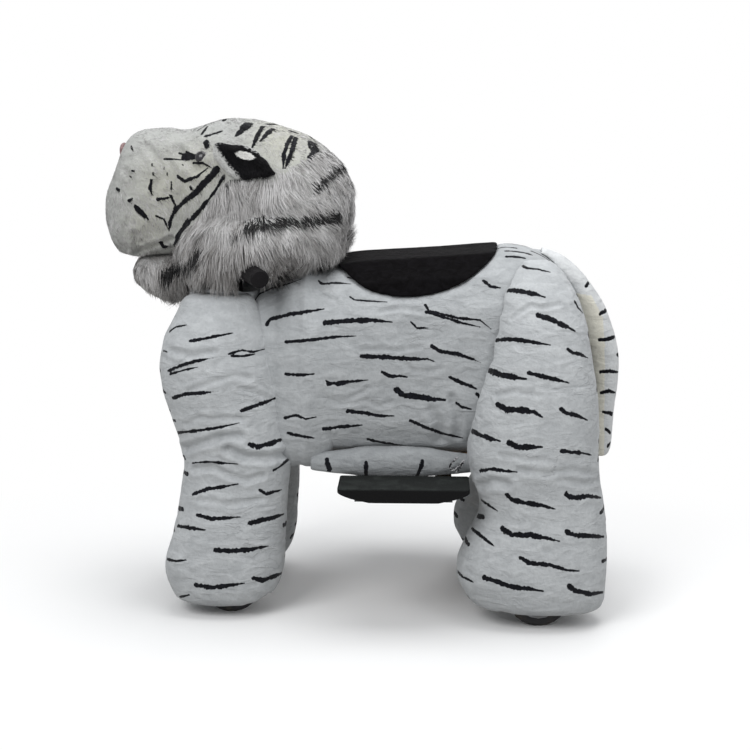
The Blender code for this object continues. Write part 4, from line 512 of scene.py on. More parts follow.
def drawn_to(piece, outline):
    """Draws the rim of a flat piece out or in to an outline of the photograph."""
    points = mesh_points(piece.data)
    corners = np.array(outline, float)
    middle = corners.mean(0)
    offset = to_pixels(points) - middle
    bearing, reach = bearing_and_reach(offset)
    ray = np.linspace(-math.pi, math.pi, RIM_RAYS, endpoint=False)
    turn = 2 * math.pi
    apart = np.abs((bearing - ray[:, None] + math.pi) % turn - math.pi)
    now = np.array([reach[near < turn / RIM_RAYS].max() for near in apart])
    shares = np.linspace(0, 1, RIM_RAYS, endpoint=False)[:, None]
    along = np.concatenate([a + (b - a) * shares for a, b in zip(corners, np.roll(corners, -1, 0))]) - middle
    outer = np.array(sorted(zip(*bearing_and_reach(along))))
    wanted = np.interp(ray, outer[:, 0], outer[:, 1], period=turn)
    share = np.interp(bearing, ray, wanted / now, period=turn)
    move = (share - 1)[:, None] * offset * METRES_PER_PIXEL
    points[:, 0] += move[:, 0]
    points[:, 2] -= move[:, 1] / math.cos(ELEVATION)
    set_points(piece.data, points)


class Coat:
    """The painted strokes of one piece, as short rounded bars that lie on its surface."""

    def __init__(self, piece, seed):
        self.piece = piece
        self.tree = surface_tree(piece)
        self.random = np.random.default_rng(seed)
        self.starts, self.ends, self.radii = [], [], []

    def add_bars(self, path, radii):
        for here, there, radius in zip(path, path[1:], radii):
            if (there - here).length < BAR_LONGEST:
                self.starts.append(here)
                self.ends.append(there)
                self.radii.append(radius)

    def stroke(self, thickness, pixels, side=NEAR, shift=(0, 0)):
        """Lays one stroke of the photograph on the surface. It tapers to its right end."""
        trail = []
        for (ax, ay), (bx, by) in zip(pixels, pixels[1:]):
            steps = max(1, int(math.hypot(bx - ax, by - ay) / STROKE_STEP_PX))
            trail += [(ax + (bx - ax) * i / steps, ay + (by - ay) * i / steps) for i in range(steps)]
        trail.append(pixels[-1])
        path, radii = [], []
        half = thickness / 2 * METRES_PER_PIXEL * (1 if side == NEAR else self.random.uniform(*FAR_WIDTH))
        wave = self.random.uniform(0, 6)
        for i, (px, py) in enumerate(trail):
            share = i / max(1, len(trail) - 1)
            start, along = line_of_sight(px + shift[0], py + shift[1], side)
            hit = self.tree.ray_cast(start, along)[0]
            if hit is None or hit.y * side > 0:
                continue
            swell = 1 + SLOW_SWELL * math.sin(wave + i * 0.7) + QUICK_SWELL * math.sin(2 * wave + i * 2.3)
            taper = 1 - TAPER_BY * max(0, share - TAPER_FROM) / (1 - TAPER_FROM)
            path.append(hit)
            radii.append(max(BAR_THINNEST, half * swell * taper))
        self.add_bars(path, radii)

    def photographed(self, strokes, mirrored_exactly=False):
        for thickness, *pixels in strokes:
            self.stroke(thickness, pixels)
            shift = (0, 0) if mirrored_exactly else self.random.uniform(-FAR_SHIFT_PX, FAR_SHIFT_PX, 2)
            self.stroke(thickness, pixels, FAR, shift)

    def scatter(self, look, across, low, high):
        """Strokes of the same kind on a surface that the photograph doesn't show, seen along a direction."""
        look, across, low, high = (Vector(v) for v in (look, across, low, high))
        upward = look.cross(across)
        corners = [Vector(corner) for corner in itertools.product(*zip(low, high))]
        u_low, *_, u_high = sorted(c.dot(across) for c in corners)
        v_low, *_, v_high = sorted(c.dot(upward) for c in corners)
        back = min(c.dot(look) for c in corners) - 0.01

        def outside(value, least, most):
            return not least - MM < value < most + MM

        v = v_low + self.random.uniform(0, DASH_ROW)
        while v < v_high:
            u = u_low + self.random.uniform(-DASH_START, DASH_START)
            while u < u_high:
                length = self.random.uniform(*DASH_LENGTH)
                slope = self.random.uniform(-DASH_SLOPE, DASH_SLOPE)
                lift = self.random.uniform(-DASH_LIFT, DASH_LIFT)
                path = []
                for i in range(int(length / DASH_STEP)):
                    high_place = v + lift + slope * DASH_STEP * i
                    origin = across * (u + DASH_STEP * i) + upward * high_place + look * back
                    hit, normal, _, _ = self.tree.ray_cast(origin, look)
                    if hit is None or normal.dot(look) > -DASH_FACING or any(map(outside, hit, low, high)):
                        break
                    path.append(hit)
                if len(path) * DASH_STEP > DASH_LEAST and self.clear_of(path):
                    half = self.random.uniform(*DASH_WIDTH_PX) * METRES_PER_PIXEL
                    wave = self.random.uniform(0, 6)
                    radii = [half * (1 + DASH_SWELL * math.sin(wave + 0.9 * i)) for i in range(len(path))]
                    self.add_bars(path, radii)
                u += length + self.random.uniform(*DASH_GAP)
            v += DASH_ROW * self.random.uniform(*DASH_ROW_SHARE)

    def clear_of(self, path):
        """Whether a new stroke keeps its distance from those already there."""
        if not self.starts:
            return True
        known = np.array(self.starts, float)
        return all(np.linalg.norm(known - np.array(p), axis=1).min() > DASH_APART for p in path[::3])

    def depth_inside(self, extra=STROKE_REACH):
        """For each point, how far inside a stroke it lies and the stroke's half width, in millimetres."""
        points = mesh_points(self.piece.data)
        mark = np.full(len(points), -extra / MM)
        wide = np.zeros(len(points))
        order = np.argsort(points[:, 0])
        ranked = points[order, 0]
        for start, end, radius in zip(self.starts, self.ends, self.radii):
            a, b = np.array(start), np.array(end)
            reach = radius + extra
            low, high = np.minimum(a, b) - reach, np.maximum(a, b) + reach
            near = order[slice(*np.searchsorted(ranked, (low[0], high[0])))]
            near = near[((points[near] > low) & (points[near] < high)).all(1)]
            if not len(near):
                continue
            span = b - a
            share = np.clip((points[near] - a) @ span / max(span @ span, 1e-12), 0, 1)
            distance = np.linalg.norm(points[near] - a - share[:, None] * span, axis=1)
            inside = (radius - distance) / MM
            closer = inside > mark[near]
            mark[near[closer]], wide[near[closer]] = inside[closer], radius / MM
        return mark, wide

    def paint(self):
        mark, wide = self.depth_inside()
        write_attribute(self.piece.data, "mark", mark)
        write_attribute(self.piece.data, "wide", wide)


def press_folds(piece, folds, seed, mirrored_exactly=False):
    """Folds of the cloth as the photograph shows them: a groove with a raised shoulder on both sides."""
    for depth, width, *pixels in folds:
        grooves = Coat(piece, seed)
        grooves.photographed([(FOLD_TRACE_PX, *pixels)], mirrored_exactly)
        distance = -grooves.depth_inside(FOLD_REACH * width)[0] * MM
        rim = np.exp(-(((distance - FOLD_RIM_PLACE * width) / width) ** 2))
        shape = np.exp(-((distance / width) ** 2)) - FOLD_RIM_HEIGHT * rim
        mesh = piece.data
        set_points(mesh, mesh_points(mesh) - mesh_normals(mesh) * (depth * shape)[:, None])


def write_attribute(mesh, name, values):
    attribute = mesh.attributes.get(name) or mesh.attributes.new(name, "FLOAT", "POINT")
    attribute.data.foreach_set("value", np.asarray(values, np.float32))


def refine_strokes(piece, coat):
    """Finer faces where a stroke's edge runs, so that it is drawn sharply."""
    for reach in STROKE_REFINING:
        near = np.abs(coat.depth_inside()[0]) < reach
        editor = bmesh.new()
        editor.from_mesh(piece.data)
        edges = [e for e in editor.edges if near[e.verts[0].index] or near[e.verts[1].index]]
        bmesh.ops.subdivide_edges(editor, edges=edges, cuts=1, use_grid_fill=True)
        editor.to_mesh(piece.data)
        editor.free()
    piece.data.shade_smooth()
    coat.paint()


def warm_tint(piece):
    """How creamy the pile is at each point of the face."""
    pixels = to_pixels(mesh_points(piece.data))
    warm = np.zeros(len(pixels))
    for px, py, spread in WARM_SPOTS_PX:
        warm = np.maximum(warm, np.exp(-((pixels[:, 0] - px) ** 2 + (pixels[:, 1] - py) ** 2) / spread**2))
    write_attribute(piece.data, "warm", warm)


def inside_outline(pixels, outline):
    """Which pixels lie inside a closed outline."""
    inside = np.zeros(len(pixels), bool)
    x, y = pixels[:, 0], pixels[:, 1]
    for (ax, ay), (bx, by) in zip(outline, outline[1:] + outline[:1]):
        if ay == by:
            continue
        crosses = ((ay > y) != (by > y)) & (x < (bx - ax) * (y - ay) / (by - ay) + ax)
        inside ^= crosses
    return inside


def near_line(pixels, line):
    """Distance in pixels from a broken line."""
    best = np.full(len(pixels), 1e9)
    for a, b in zip(line, line[1:]):
        a, b = np.array(a, float), np.array(b, float)
        share = np.clip((pixels - a) @ (b - a) / ((b - a) @ (b - a)), 0, 1)
        best = np.minimum(best, np.linalg.norm(pixels - a - share[:, None] * (b - a), axis=1))
    return best


def screen(red, green, blue):
    """A colour as a screen shows it, from 0 to 255, in the renderer's linear terms."""
    def linear(value):
        value /= 255
        return value / 12.92 if value <= 0.04045 else ((value + 0.055) / 1.055) ** 2.4
    return linear(red), linear(green), linear(blue), 1.0


class Finish:
    """A material under construction. In a call's names of sockets, a space is written as an underscore."""

    def __init__(self, name, roughness=0.5, metallic=0.0, **sockets):
        self.material = bpy.data.materials.new(name)
        self.material.use_nodes = True
        self.tree = self.material.node_tree
        self.shader = self.tree.nodes["Principled BSDF"]
        self.shader.inputs["Roughness"].default_value = roughness
        self.shader.inputs["Metallic"].default_value = metallic
        for socket, value in sockets.items():
            self.shader.inputs[socket.replace("_", " ")].default_value = value
        self.place = self.tree.nodes.new("ShaderNodeTexCoord").outputs["Object"]

    def node(self, kind, **inputs):
        made = self.tree.nodes.new("ShaderNode" + kind)
        for name, value in inputs.items():
            self.plug(made.inputs[name.replace("_", " ")], value)
        return made

    def plug(self, socket, value):
        if isinstance(value, bpy.types.NodeSocket):
            self.tree.links.new(value, socket)
        else:
            socket.default_value = value

    def stretched(self, scale):
        return self.node("Mapping", Vector=self.place, Scale=scale).outputs["Vector"]

    def noise(self, scale, detail=3.0, distortion=0.0, where=None, rough=0.5):
        made = self.node("TexNoise", Vector=where or self.place, Scale=scale, Detail=detail, Roughness=rough)
        made.inputs["Distortion"].default_value = distortion
        return made.outputs[0]

    def waves(self, scale, distortion, direction):
        made = self.node("TexWave", Vector=self.place, Scale=scale, Distortion=distortion)
        made.bands_direction = direction
        return made.outputs["Fac"]

    def ranged(self, value, low, high, to_low=0.0, to_high=1.0):
        made = self.node("MapRange", Value=value, From_Min=low, From_Max=high, To_Min=to_low, To_Max=to_high)
        return made.outputs[0]

    def math(self, operation, first, second=0.0):
        made = self.tree.nodes.new("ShaderNodeMath")
        made.operation = operation
        for socket, value in zip(made.inputs, (first, second)):
            self.plug(socket, value)
        return made.outputs[0]

    def mix(self, share, first, second):
        made = self.tree.nodes.new("ShaderNodeMix")
        made.data_type = "RGBA"
        for socket, value in (("Factor", share), (6, first), (7, second)):
            self.plug(made.inputs[socket], value)
        return made.outputs[2]

    def attribute(self, name):
        made = self.tree.nodes.new("ShaderNodeAttribute")
        made.attribute_name = name
        return made.outputs["Fac"]

    def colour(self, value):
        self.plug(self.shader.inputs["Base Color"], value)
        return self

    def rough(self, value):
        self.plug(self.shader.inputs["Roughness"], value)
        return self

    def tinted(self, value, low, high, first, second):
        """Colours the surface from one screen colour to another over a range of a value."""
        return self.colour(self.mix(self.ranged(value, low, high), screen(*first), screen(*second)))

    def uneven(self, value, least, most):
        """Makes the surface rougher where a noise is higher."""
        return self.rough(self.ranged(value, 0.3, 0.7, least, most))

    def bump(self, height, distance, strength=1.0):
        made = self.node("Bump", Height=height, Distance=distance, Strength=strength)
        before = self.shader.inputs["Normal"].links
        if before:
            self.plug(made.inputs["Normal"], before[0].from_socket)
        self.plug(self.shader.inputs["Normal"], made.outputs["Normal"])
        return self


STRIPE_BLACK, STRIPE_WORN = screen(7, 8, 13), screen(24, 25, 33)


def plush(name, light, shade, crease=1.0, warm=None):
    """Short crushed plush: a smooth pile with sparse wrinkles, and painted strokes that fray along it.

    Of a piece's attributes, 'mark' and 'wide' say where its strokes are and 'warm' where it is creamy, which
    on the tail's inner strip is also painted light.
    """
    made = Finish(name, roughness=0.93, Sheen_Weight=0.12, Sheen_Roughness=0.5, Specular_IOR_Level=0.12)
    flat = made.stretched((1.0, 1.0, 2.4))
    patches = made.ranged(made.noise(9.0, 2.0), 0.52, 0.66)
    lines = made.math("ABSOLUTE", made.math("SUBTRACT", made.noise(15.0, 2.5, 1.1, flat, 0.55), 0.5))
    wrinkle = made.math("MULTIPLY", made.ranged(lines, 0.0, 0.022, 1.0, 0.0), patches)
    soft = made.noise(22.0, 2.0, 0.8, flat, 0.5)
    nap = made.noise(60.0, 4.0, 0.5, made.stretched((1.0, 1.0, 1.6)))
    pile = made.noise(700.0, 2.0)
    tufts = made.noise(230.0, 3.0, 0.6, made.stretched((1.0, 1.0, 0.6)))
    # Painted shade: the colour runs from the lit colour to the shaded one, darker in the hollows of the soft
    # folds, the nap and the tufts that the bumps raise, and along the wrinkle lines.
    shade = screen(*shade)
    body = made.mix(made.ranged(soft, 0.36, 0.64, 0.26, 0.0), screen(*light), shade)
    body = made.mix(made.ranged(nap, 0.34, 0.66, 0.24, 0.0), body, shade)
    body = made.mix(made.math("MULTIPLY", wrinkle, 0.22), body, shade)
    body = made.mix(made.ranged(tufts, 0.36, 0.62, 0.16, 0.0), body, shade)
    if warm:
        body = made.mix(made.math("MULTIPLY", made.attribute("warm"), 0.6), body, screen(*warm))
    fray = made.noise(420.0, 3.0, 0.5, made.stretched((0.6, 0.6, 0.35)))
    wander = made.noise(95.0, 3.0)
    fray, wander = made.ranged(fray, 0.28, 0.72, -1.5, 1.5), made.ranged(wander, 0.3, 0.7, -0.9, 0.9)
    loose = made.math("ADD", fray, wander)
    loose = made.math("MULTIPLY", loose, made.ranged(made.attribute("wide"), 1.2, 4.5, 0.22, 1.0))
    inked = made.ranged(made.math("ADD", made.attribute("mark"), loose), -0.35, 0.35)
    made.colour(made.mix(inked, body, made.mix(made.ranged(tufts, 0.45, 0.75), STRIPE_BLACK, STRIPE_WORN)))
    made.bump(soft, 0.006 * crease, 0.7).bump(wrinkle, 0.0009 * crease, 0.8)
    made.bump(nap, 0.0016).bump(tufts, 0.0007).bump(pile, 0.0004)
    return made.material


def fur_finish(name, sheen=0.2, gloss=0.3):
    """Synthetic fur with painted shade: darker at a strand's root than at its tip, and darker where it grows
    lower down, by the attributes that grow_fur writes.
    """
    made = Finish(name, roughness=0.62, Sheen_Weight=sheen, Sheen_Roughness=0.4, Specular_IOR_Level=gloss)
    root = made.mix(made.attribute("paleness_and_shade"), screen(98, 95, 93), screen(188, 187, 187))
    tip = made.mix(made.attribute("paleness_and_shade"), screen(148, 145, 143), screen(224, 223, 223))
    # Painted shade: each white strand is darker at its root.
    pale_with_root_shade = made.mix(made.attribute("along"), root, tip)
    dark = made.mix(made.attribute("paleness_and_shade"), screen(5, 5, 7), screen(15, 14, 16))
    made.colour(made.mix(made.attribute("tone"), pale_with_root_shade, dark))
    return made.material


def powder_coat():
    """Grey coat on the frame, worn through in small spots."""
    made = Finish("frame_steel", roughness=0.5, Coat_Weight=0.2, Coat_Roughness=0.35)
    grime = made.noise(9.0, 4.0)
    worn = made.ranged(made.noise(55.0, 5.0, 0.4), 0.66, 0.72)
    coat = made.mix(made.ranged(grime, 0.35, 0.7), screen(38, 39, 42), screen(58, 58, 60))
    made.colour(made.mix(made.math("MULTIPLY", worn, 0.6), coat, screen(112, 106, 100)))
    return made.uneven(grime, 0.40, 0.62).bump(made.noise(700.0, 2.0), 0.0003, 0.6).material


def bright_steel():
    """Turned steel with stains."""
    made = Finish("bright_steel", roughness=0.3, metallic=1.0)
    brushed = made.noise(500.0, 3.0, 0.0, made.stretched((1.0, 0.08, 1.0)))
    made.tinted(made.noise(30.0, 4.0), 0.4, 0.75, (196, 198, 200), (142, 138, 132))
    return made.uneven(brushed, 0.20, 0.42).bump(brushed, 0.0001, 0.5).material


def brass():
    made = Finish("bearing_brass", roughness=0.35, metallic=1.0)
    stain = made.noise(60.0, 4.0, 0.5)
    made.tinted(stain, 0.4, 0.7, (206, 172, 104), (140, 106, 62)).uneven(stain, 0.25, 0.5)
    return made.bump(made.noise(600.0, 2.0), 0.0001, 0.5).material


def moulded(name, dark, light, roughness, grain=420.0, depth=0.0004, upward_faces_paler=False):
    """Moulded plastic with a fine grain and paler scuffs. Where upward faces are paler, faces that look up
    are paler all over and scuffed, and the sides are neither.
    """
    made = Finish(name, roughness=roughness, Specular_IOR_Level=0.15 if upward_faces_paler else 0.45)
    scuff = made.ranged(made.noise(24.0, 6.0, 0.8), 0.52, 0.72)
    if upward_faces_paler:
        outward = made.node("NewGeometry").outputs["True Normal"]
        upright = made.node("SeparateXYZ", Vector=outward).outputs["Z"]
        scuff = made.math("MULTIPLY", made.math("ADD", scuff, 0.5), made.ranged(upright, 0.5, 0.9))
    cells = made.node("TexVoronoi", Vector=made.place, Scale=grain).outputs["Distance"]
    made.colour(made.mix(scuff, screen(*dark), screen(*light)))
    made.rough(made.ranged(scuff, 0.0, 1.0, roughness, min(1.0, roughness + 0.22)))
    return made.bump(cells, depth, 0.7).bump(made.noise(90.0, 3.0), 0.0003, 0.4).material


def plywood():
    made = Finish("plywood", roughness=0.62)
    long_way = made.stretched((3.0, 42.0, 42.0))
    grain = made.noise(3.2, 6.0, 1.4, long_way, 0.62)
    flecks = made.ranged(made.noise(30.0, 3.0, 0.0, long_way), 0.62, 0.72)
    board = made.mix(made.ranged(grain, 0.34, 0.68), screen(206, 170, 122), screen(158, 116, 72))
    made.colour(made.mix(made.math("MULTIPLY", flecks, 0.6), board, screen(112, 78, 46)))
    return made.bump(grain, 0.0004, 0.6).material


def webbing():
    made = Finish("strap_web", roughness=0.85, Sheen_Weight=0.2)
    weave = made.waves(240.0, 0.6, "DIAGONAL")
    made.colour(made.mix(weave, screen(22, 23, 26), screen(52, 54, 58)))
    return made.bump(weave, 0.0004, 0.8).bump(made.noise(800.0), 0.0002, 0.5).material


def brushed_case():
    made = Finish("controller_metal", roughness=0.4, metallic=0.9)
    brushed = made.noise(420.0, 3.0, 0.0, made.stretched((0.05, 1.0, 1.0)))
    made.colour(made.mix(brushed, screen(150, 153, 157), screen(186, 188, 190)))
    return made.uneven(brushed, 0.32, 0.5).bump(brushed, 0.0001, 0.5).material


def motor_paint():
    made = Finish("motor_paint", roughness=0.42, Coat_Weight=0.25)
    grime = made.noise(26.0, 5.0, 0.5)
    made.tinted(grime, 0.45, 0.75, (58, 60, 64), (34, 33, 33)).uneven(grime, 0.34, 0.58)
    return made.bump(made.noise(650.0, 2.0), 0.0003, 0.5).material


def tyre_finish():
    """Black rubber with fine ribs, dusty where it has rolled."""
    made = Finish("tyre_rubber", roughness=0.72)
    dust = made.ranged(made.noise(34.0, 5.0, 0.6), 0.46, 0.72)
    made.colour(made.mix(made.math("MULTIPLY", dust, 0.7), screen(24, 24, 26), screen(92, 84, 72)))
    ribs = made.waves(95.0, 0.2, "Y")
    return made.bump(ribs, 0.0007, 0.8).bump(made.noise(500.0), 0.0003, 0.5).material


def grip_finish():
    """Soft dark grip rubber with small raised squares."""
    made = Finish("grip_rubber", roughness=0.6, Specular_IOR_Level=0.12)
    squares = made.node("TexVoronoi", Vector=made.place, Scale=230.0)
    squares.distance = "CHEBYCHEV"
    made.tinted(made.noise(40.0, 3.0), 0.35, 0.7, (8, 7, 9), (18, 16, 18))
    return made.bump(squares.outputs["Distance"], 0.0007, 0.8).material


def saddle_finish():
    """Matt black brushed cloth with a soft nap."""
    made = Finish(
        "saddle_cloth", roughness=0.97, Sheen_Weight=0.03, Sheen_Roughness=0.4, Specular_IOR_Level=0.05
    )
    nap = made.noise(70.0, 4.0, 0.8)
    made.tinted(nap, 0.35, 0.7, (8, 7, 8), (17, 16, 18))
    return made.bump(nap, 0.0016, 0.8).bump(made.noise(900.0, 2.0), 0.0004, 0.7).material


def ear_finish():
    """Fuzzy black ear pile. The attribute 'mark' is the pale leaf and 'rim' the pale edge."""
    made = Finish("ear_pile", roughness=0.9, Sheen_Weight=0.04, Specular_IOR_Level=0.1)
    fuzz = made.noise(420.0, 3.0, 0.5, made.stretched((0.6, 0.6, 1.0)))
    loose = made.ranged(fuzz, 0.3, 0.7, -0.8, 0.8)
    leaf, rim = (
        made.ranged(made.math("ADD", made.attribute(name), loose), -0.4, 0.5) for name in ("mark", "rim")
    )
    share = made.ranged(fuzz, 0.4, 0.7)
    black = made.mix(share, screen(4, 4, 6), screen(18, 17, 20))
    white = made.mix(share, screen(244, 244, 240), screen(214, 214, 212))
    edge = made.mix(share, screen(198, 199, 197), screen(160, 160, 159))
    made.colour(made.mix(leaf, made.mix(rim, black, edge), white))
    return made.bump(fuzz, 0.0013).material


def eye_finish():
    """Dark glass."""
    made = Finish("eye_glass", roughness=0.12, Coat_Weight=0.35, Coat_Roughness=0.05, Specular_IOR_Level=0.3)
    return made.tinted(made.noise(220.0, 2.0), 0.3, 0.7, (10, 10, 13), (34, 32, 38)).material


def nose_finish():
    """Pinkish embroidered nose."""
    made = Finish("nose_pad", roughness=0.7, Sheen_Weight=0.15)
    threads = made.noise(300.0, 2.0, 0.3, made.stretched((1.0, 0.12, 1.0)))
    return made.tinted(threads, 0.3, 0.7, (112, 84, 86), (146, 118, 118)).bump(threads, 0.0007).material


def base_name(material):
    return material.name.split(".")[0]


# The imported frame's materials, replaced by these of the same names
RIGID_FINISHES = {
    base_name(material): material
    for material in (
        powder_coat(),
        bright_steel(),
        brass(),
        plywood(),
        webbing(),
        brushed_case(),
        motor_paint(),
        tyre_finish(),
        grip_finish(),
        moulded("footboard_plastic", (3, 3, 4), (40, 43, 42), 0.75, 300.0, 0.0006, True),
        moulded("battery_case", (36, 38, 44), (70, 72, 78), 0.45),
        moulded("hub_plastic", (150, 152, 156), (112, 110, 106), 0.4),
        moulded("throttle_plastic", (26, 26, 28), (58, 58, 60), 0.42),
    )
}
for node in NODES.values():
    for place in node.material_slots:
        if place.material:
            place.material = RIGID_FINISHES.get(base_name(place.material), place.material)

WHITE_PLUSH = plush("white_plush", (194, 197, 199), (142, 145, 148))
# The body's and the belly rolls' plush are darker copies of the white plush: painted shade of the torso set
# back between the legs, and more of it on the rolls under the belly.
SHADED_BODY_PLUSH = plush("body_plush", (182, 185, 187), (130, 133, 136))
SHADED_ROLL_PLUSH = plush("roll_plush", (164, 167, 169), (116, 119, 122))
# The tail's plush is a paler copy of the white plush: painted light.
LIT_TAIL_PLUSH = plush("tail_plush", (222, 224, 225), (178, 181, 183), warm=(228, 224, 208))
FACE_PLUSH = plush("face_plush", (182, 184, 182), (132, 134, 133), 0.5, (182, 181, 166))
FUR, SHORT_FUR = fur_finish("long_fur"), fur_finish("short_fur", 0.04, 0.1)


def covered(piece, material, body):
    """Gives a piece its material and the body that it rides on."""
    piece.data.materials.clear()
    piece.data.materials.append(material)
    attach(piece, body)
    return piece


def plush_form(
    name, node, body, strokes, voxel, seed, scatters, material, creases=CREASE_DEPTH,
    lumps=LUMP_HEIGHT, mirrored_exactly=False, passes=SMOOTH_PASSES, folds=(), trim=None, hem=False,
):
    """One stuffed piece of the animal with its painted strokes."""
    piece = fine_form(name, node, voxel, passes)
    if trim:
        trimmed(piece, *trim)
    if hem:
        let_down(piece)
    press_folds(piece, folds, seed, mirrored_exactly)
    coat = Coat(piece, seed)
    coat.photographed(strokes, mirrored_exactly)
    for look, across, low, high in scatters:
        coat.scatter(look, across, low, high)
    crumple(piece, lumps, creases, seed)
    refine_strokes(piece, coat)
    return covered(piece, material, body)


# Directions as the animal has them. It looks along -X.
FORWARD, BACKWARD = (-1, 0, 0), (1, 0, 0)
LEFT, RIGHT = (0, -1, 0), (0, 1, 0)
DOWN, UP = (0, 0, -1), (0, 0, 1)


def seen(node, look, across, low_share=(0, 0, 0), high_share=(1, 1, 1)):
    """A part of a node's box, to be covered with strokes as it is seen along a direction."""
    low, high = (np.array(c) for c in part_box(node))
    return look, across, tuple(low + (high - low) * low_share), tuple(low + (high - low) * high_share)


torso = plush_form(
    "torso", "torso_plush", "chassis", TORSO_STROKES_PX, TORSO_VOXEL, 11,
    [
        seen("torso_plush", UP, BACKWARD),
        seen("torso_plush", DOWN, BACKWARD),
        seen("torso_plush", BACKWARD, LEFT, high_share=(0.3, 1, 1)),
        seen("torso_plush", FORWARD, RIGHT, (0.5, 0, 0)),
    ],
    SHADED_BODY_PLUSH, folds=TORSO_FOLDS_PX, hem=True,
)
for side, word, inner_face in ((-1, "left", LEFT), (1, "right", RIGHT)):
    rear, front, padding = "rear_leg_plush_" + word, "front_leg_plush_" + word, "belly_roll_" + word
    plush_form(
        "rear_leg_" + word, rear, "chassis", REAR_STROKES_PX, LEG_VOXEL, 21 + side,
        [
            seen(rear, FORWARD, RIGHT),
            seen(rear, BACKWARD, LEFT, high_share=(1, 1, 0.7)),
            seen(rear, inner_face, BACKWARD),
        ],
        WHITE_PLUSH, folds=REAR_FOLDS_PX,
    )
    plush_form(
        "front_leg_" + word, front, "steering", FRONT_STROKES_PX, LEG_VOXEL, 31 + side,
        [seen(front, BACKWARD, LEFT), seen(front, FORWARD, RIGHT), seen(front, inner_face, BACKWARD)],
        WHITE_PLUSH, folds=FRONT_FOLDS_PX, trim=FOOT_TRIM_PX,
    )
    roll = plush_form(
        padding, padding, "chassis", BELLY_STROKES_PX, ROLL_VOXEL, 41 + side, (), SHADED_ROLL_PLUSH, passes=10,
    )
    points = mesh_points(roll.data)
    share = (points - points.min(0)) / np.ptp(points, axis=0)
    points[:, 2] += (ROLL_RISE + ROLL_SAG) * share[:, 2] ** 2 - ROLL_SAG
    points[:, 0] += ROLL_STRETCH * (2 * share[:, 0] - 1) ** 3
    set_points(roll.data, points)
plush_form(
    "chest", "chest_plush", "steering", CHEST_STROKES_PX, SMALL_VOXEL, 51,
    [seen("chest_plush", BACKWARD, LEFT), seen("chest_plush", FORWARD, RIGHT)], WHITE_PLUSH,
)
tail = plush_form(
    "tail", "tail_plush", "chassis", TAIL_STROKES_PX, SMALL_VOXEL, 61,
    [seen("tail_plush", FORWARD, RIGHT)], LIT_TAIL_PLUSH, trim=TAIL_TRIM_PX,
)
# The tail's inner strip is creamier, and painted lighter against the shade it lies in.
inner_strip = inside_outline(to_pixels(mesh_points(tail.data)), TAIL_INNER_PX)
write_attribute(tail.data, "warm", inner_strip * TAIL_CREAM_AND_LIGHT)

head = plush_form(
    "head", "head_plush muzzle_plush neck_ruff", "steering", FACE_STROKES_PX, HEAD_VOXEL, 71,
    [
        seen("head_plush", FORWARD, RIGHT, (0.25, 0, 0.3)),
        seen("head_plush", DOWN, RIGHT, (0.3, 0.15, 0), (1, 0.85, 1)),
    ],
    FACE_PLUSH, FACE_CREASES, FACE_LUMPS, True, 60, HEAD_FOLDS_PX,
)
jaw = plush_form(
    "lower_jaw", "lower_jaw_plush", "steering", FACE_STROKES_PX, JAW_VOXEL, 73, (),
    FACE_PLUSH, FACE_CREASES, FACE_LUMPS, True,
)
warm_tint(head)
warm_tint(jaw)

# Cloth over the joint between the body and the front legs. It is sewn to both.
# Each station: place from front to back, half width, bottom, top.
SHOULDER_STATIONS = (
    (-0.052, 0.1600, 0.300, 0.6350),
    (-0.068, 0.1725, 0.282, 0.6400),
    (-0.078, 0.1758, 0.270, 0.6390),
    (-0.092, 0.1762, 0.265, 0.6360),
    (-0.110, 0.1750, 0.263, 0.6310),
    (-0.128, 0.1710, 0.263, 0.6250),
    (-0.145, 0.1660, 0.265, 0.6180),
    (-0.160, 0.1620, 0.268, 0.6090),
    (-0.175, 0.1590, 0.273, 0.6020),
    (-0.190, 0.1550, 0.280, 0.5970),
    (-0.203, 0.1490, 0.288, 0.5880),
)
SHOULDER_SIDES = 320
SHOULDER_POWERS = 2.5, 5.0
SHOULDER_STEP = 0.0030
SHOULDER_WALL = 0.0025
SHOULDER_LUMPS, SHOULDER_CREASES = 0.0016, 0.0006
SHOULDER_PLEAT, PLEAT_PLACE, PLEAT_WIDTH = 0.0028, 0.118, 0.021
# Along the hem on the torso: places, and how far the cloth stands off the torso there
SHOULDER_HEM = 0.052, 0.074, 0.104
SHOULDER_CLEAR = -0.0006, 0.0007, 0.0018
# The cloth leaves the torso towards its underside, between these slopes of the outward direction
SHOULDER_UNDERSIDE = -0.75, -0.55


def power_circle(angle, power):
    """A round between a circle and a square."""
    return [np.sign(part) * np.abs(part) ** (2 / power) for part in (np.cos(angle), np.sin(angle))]


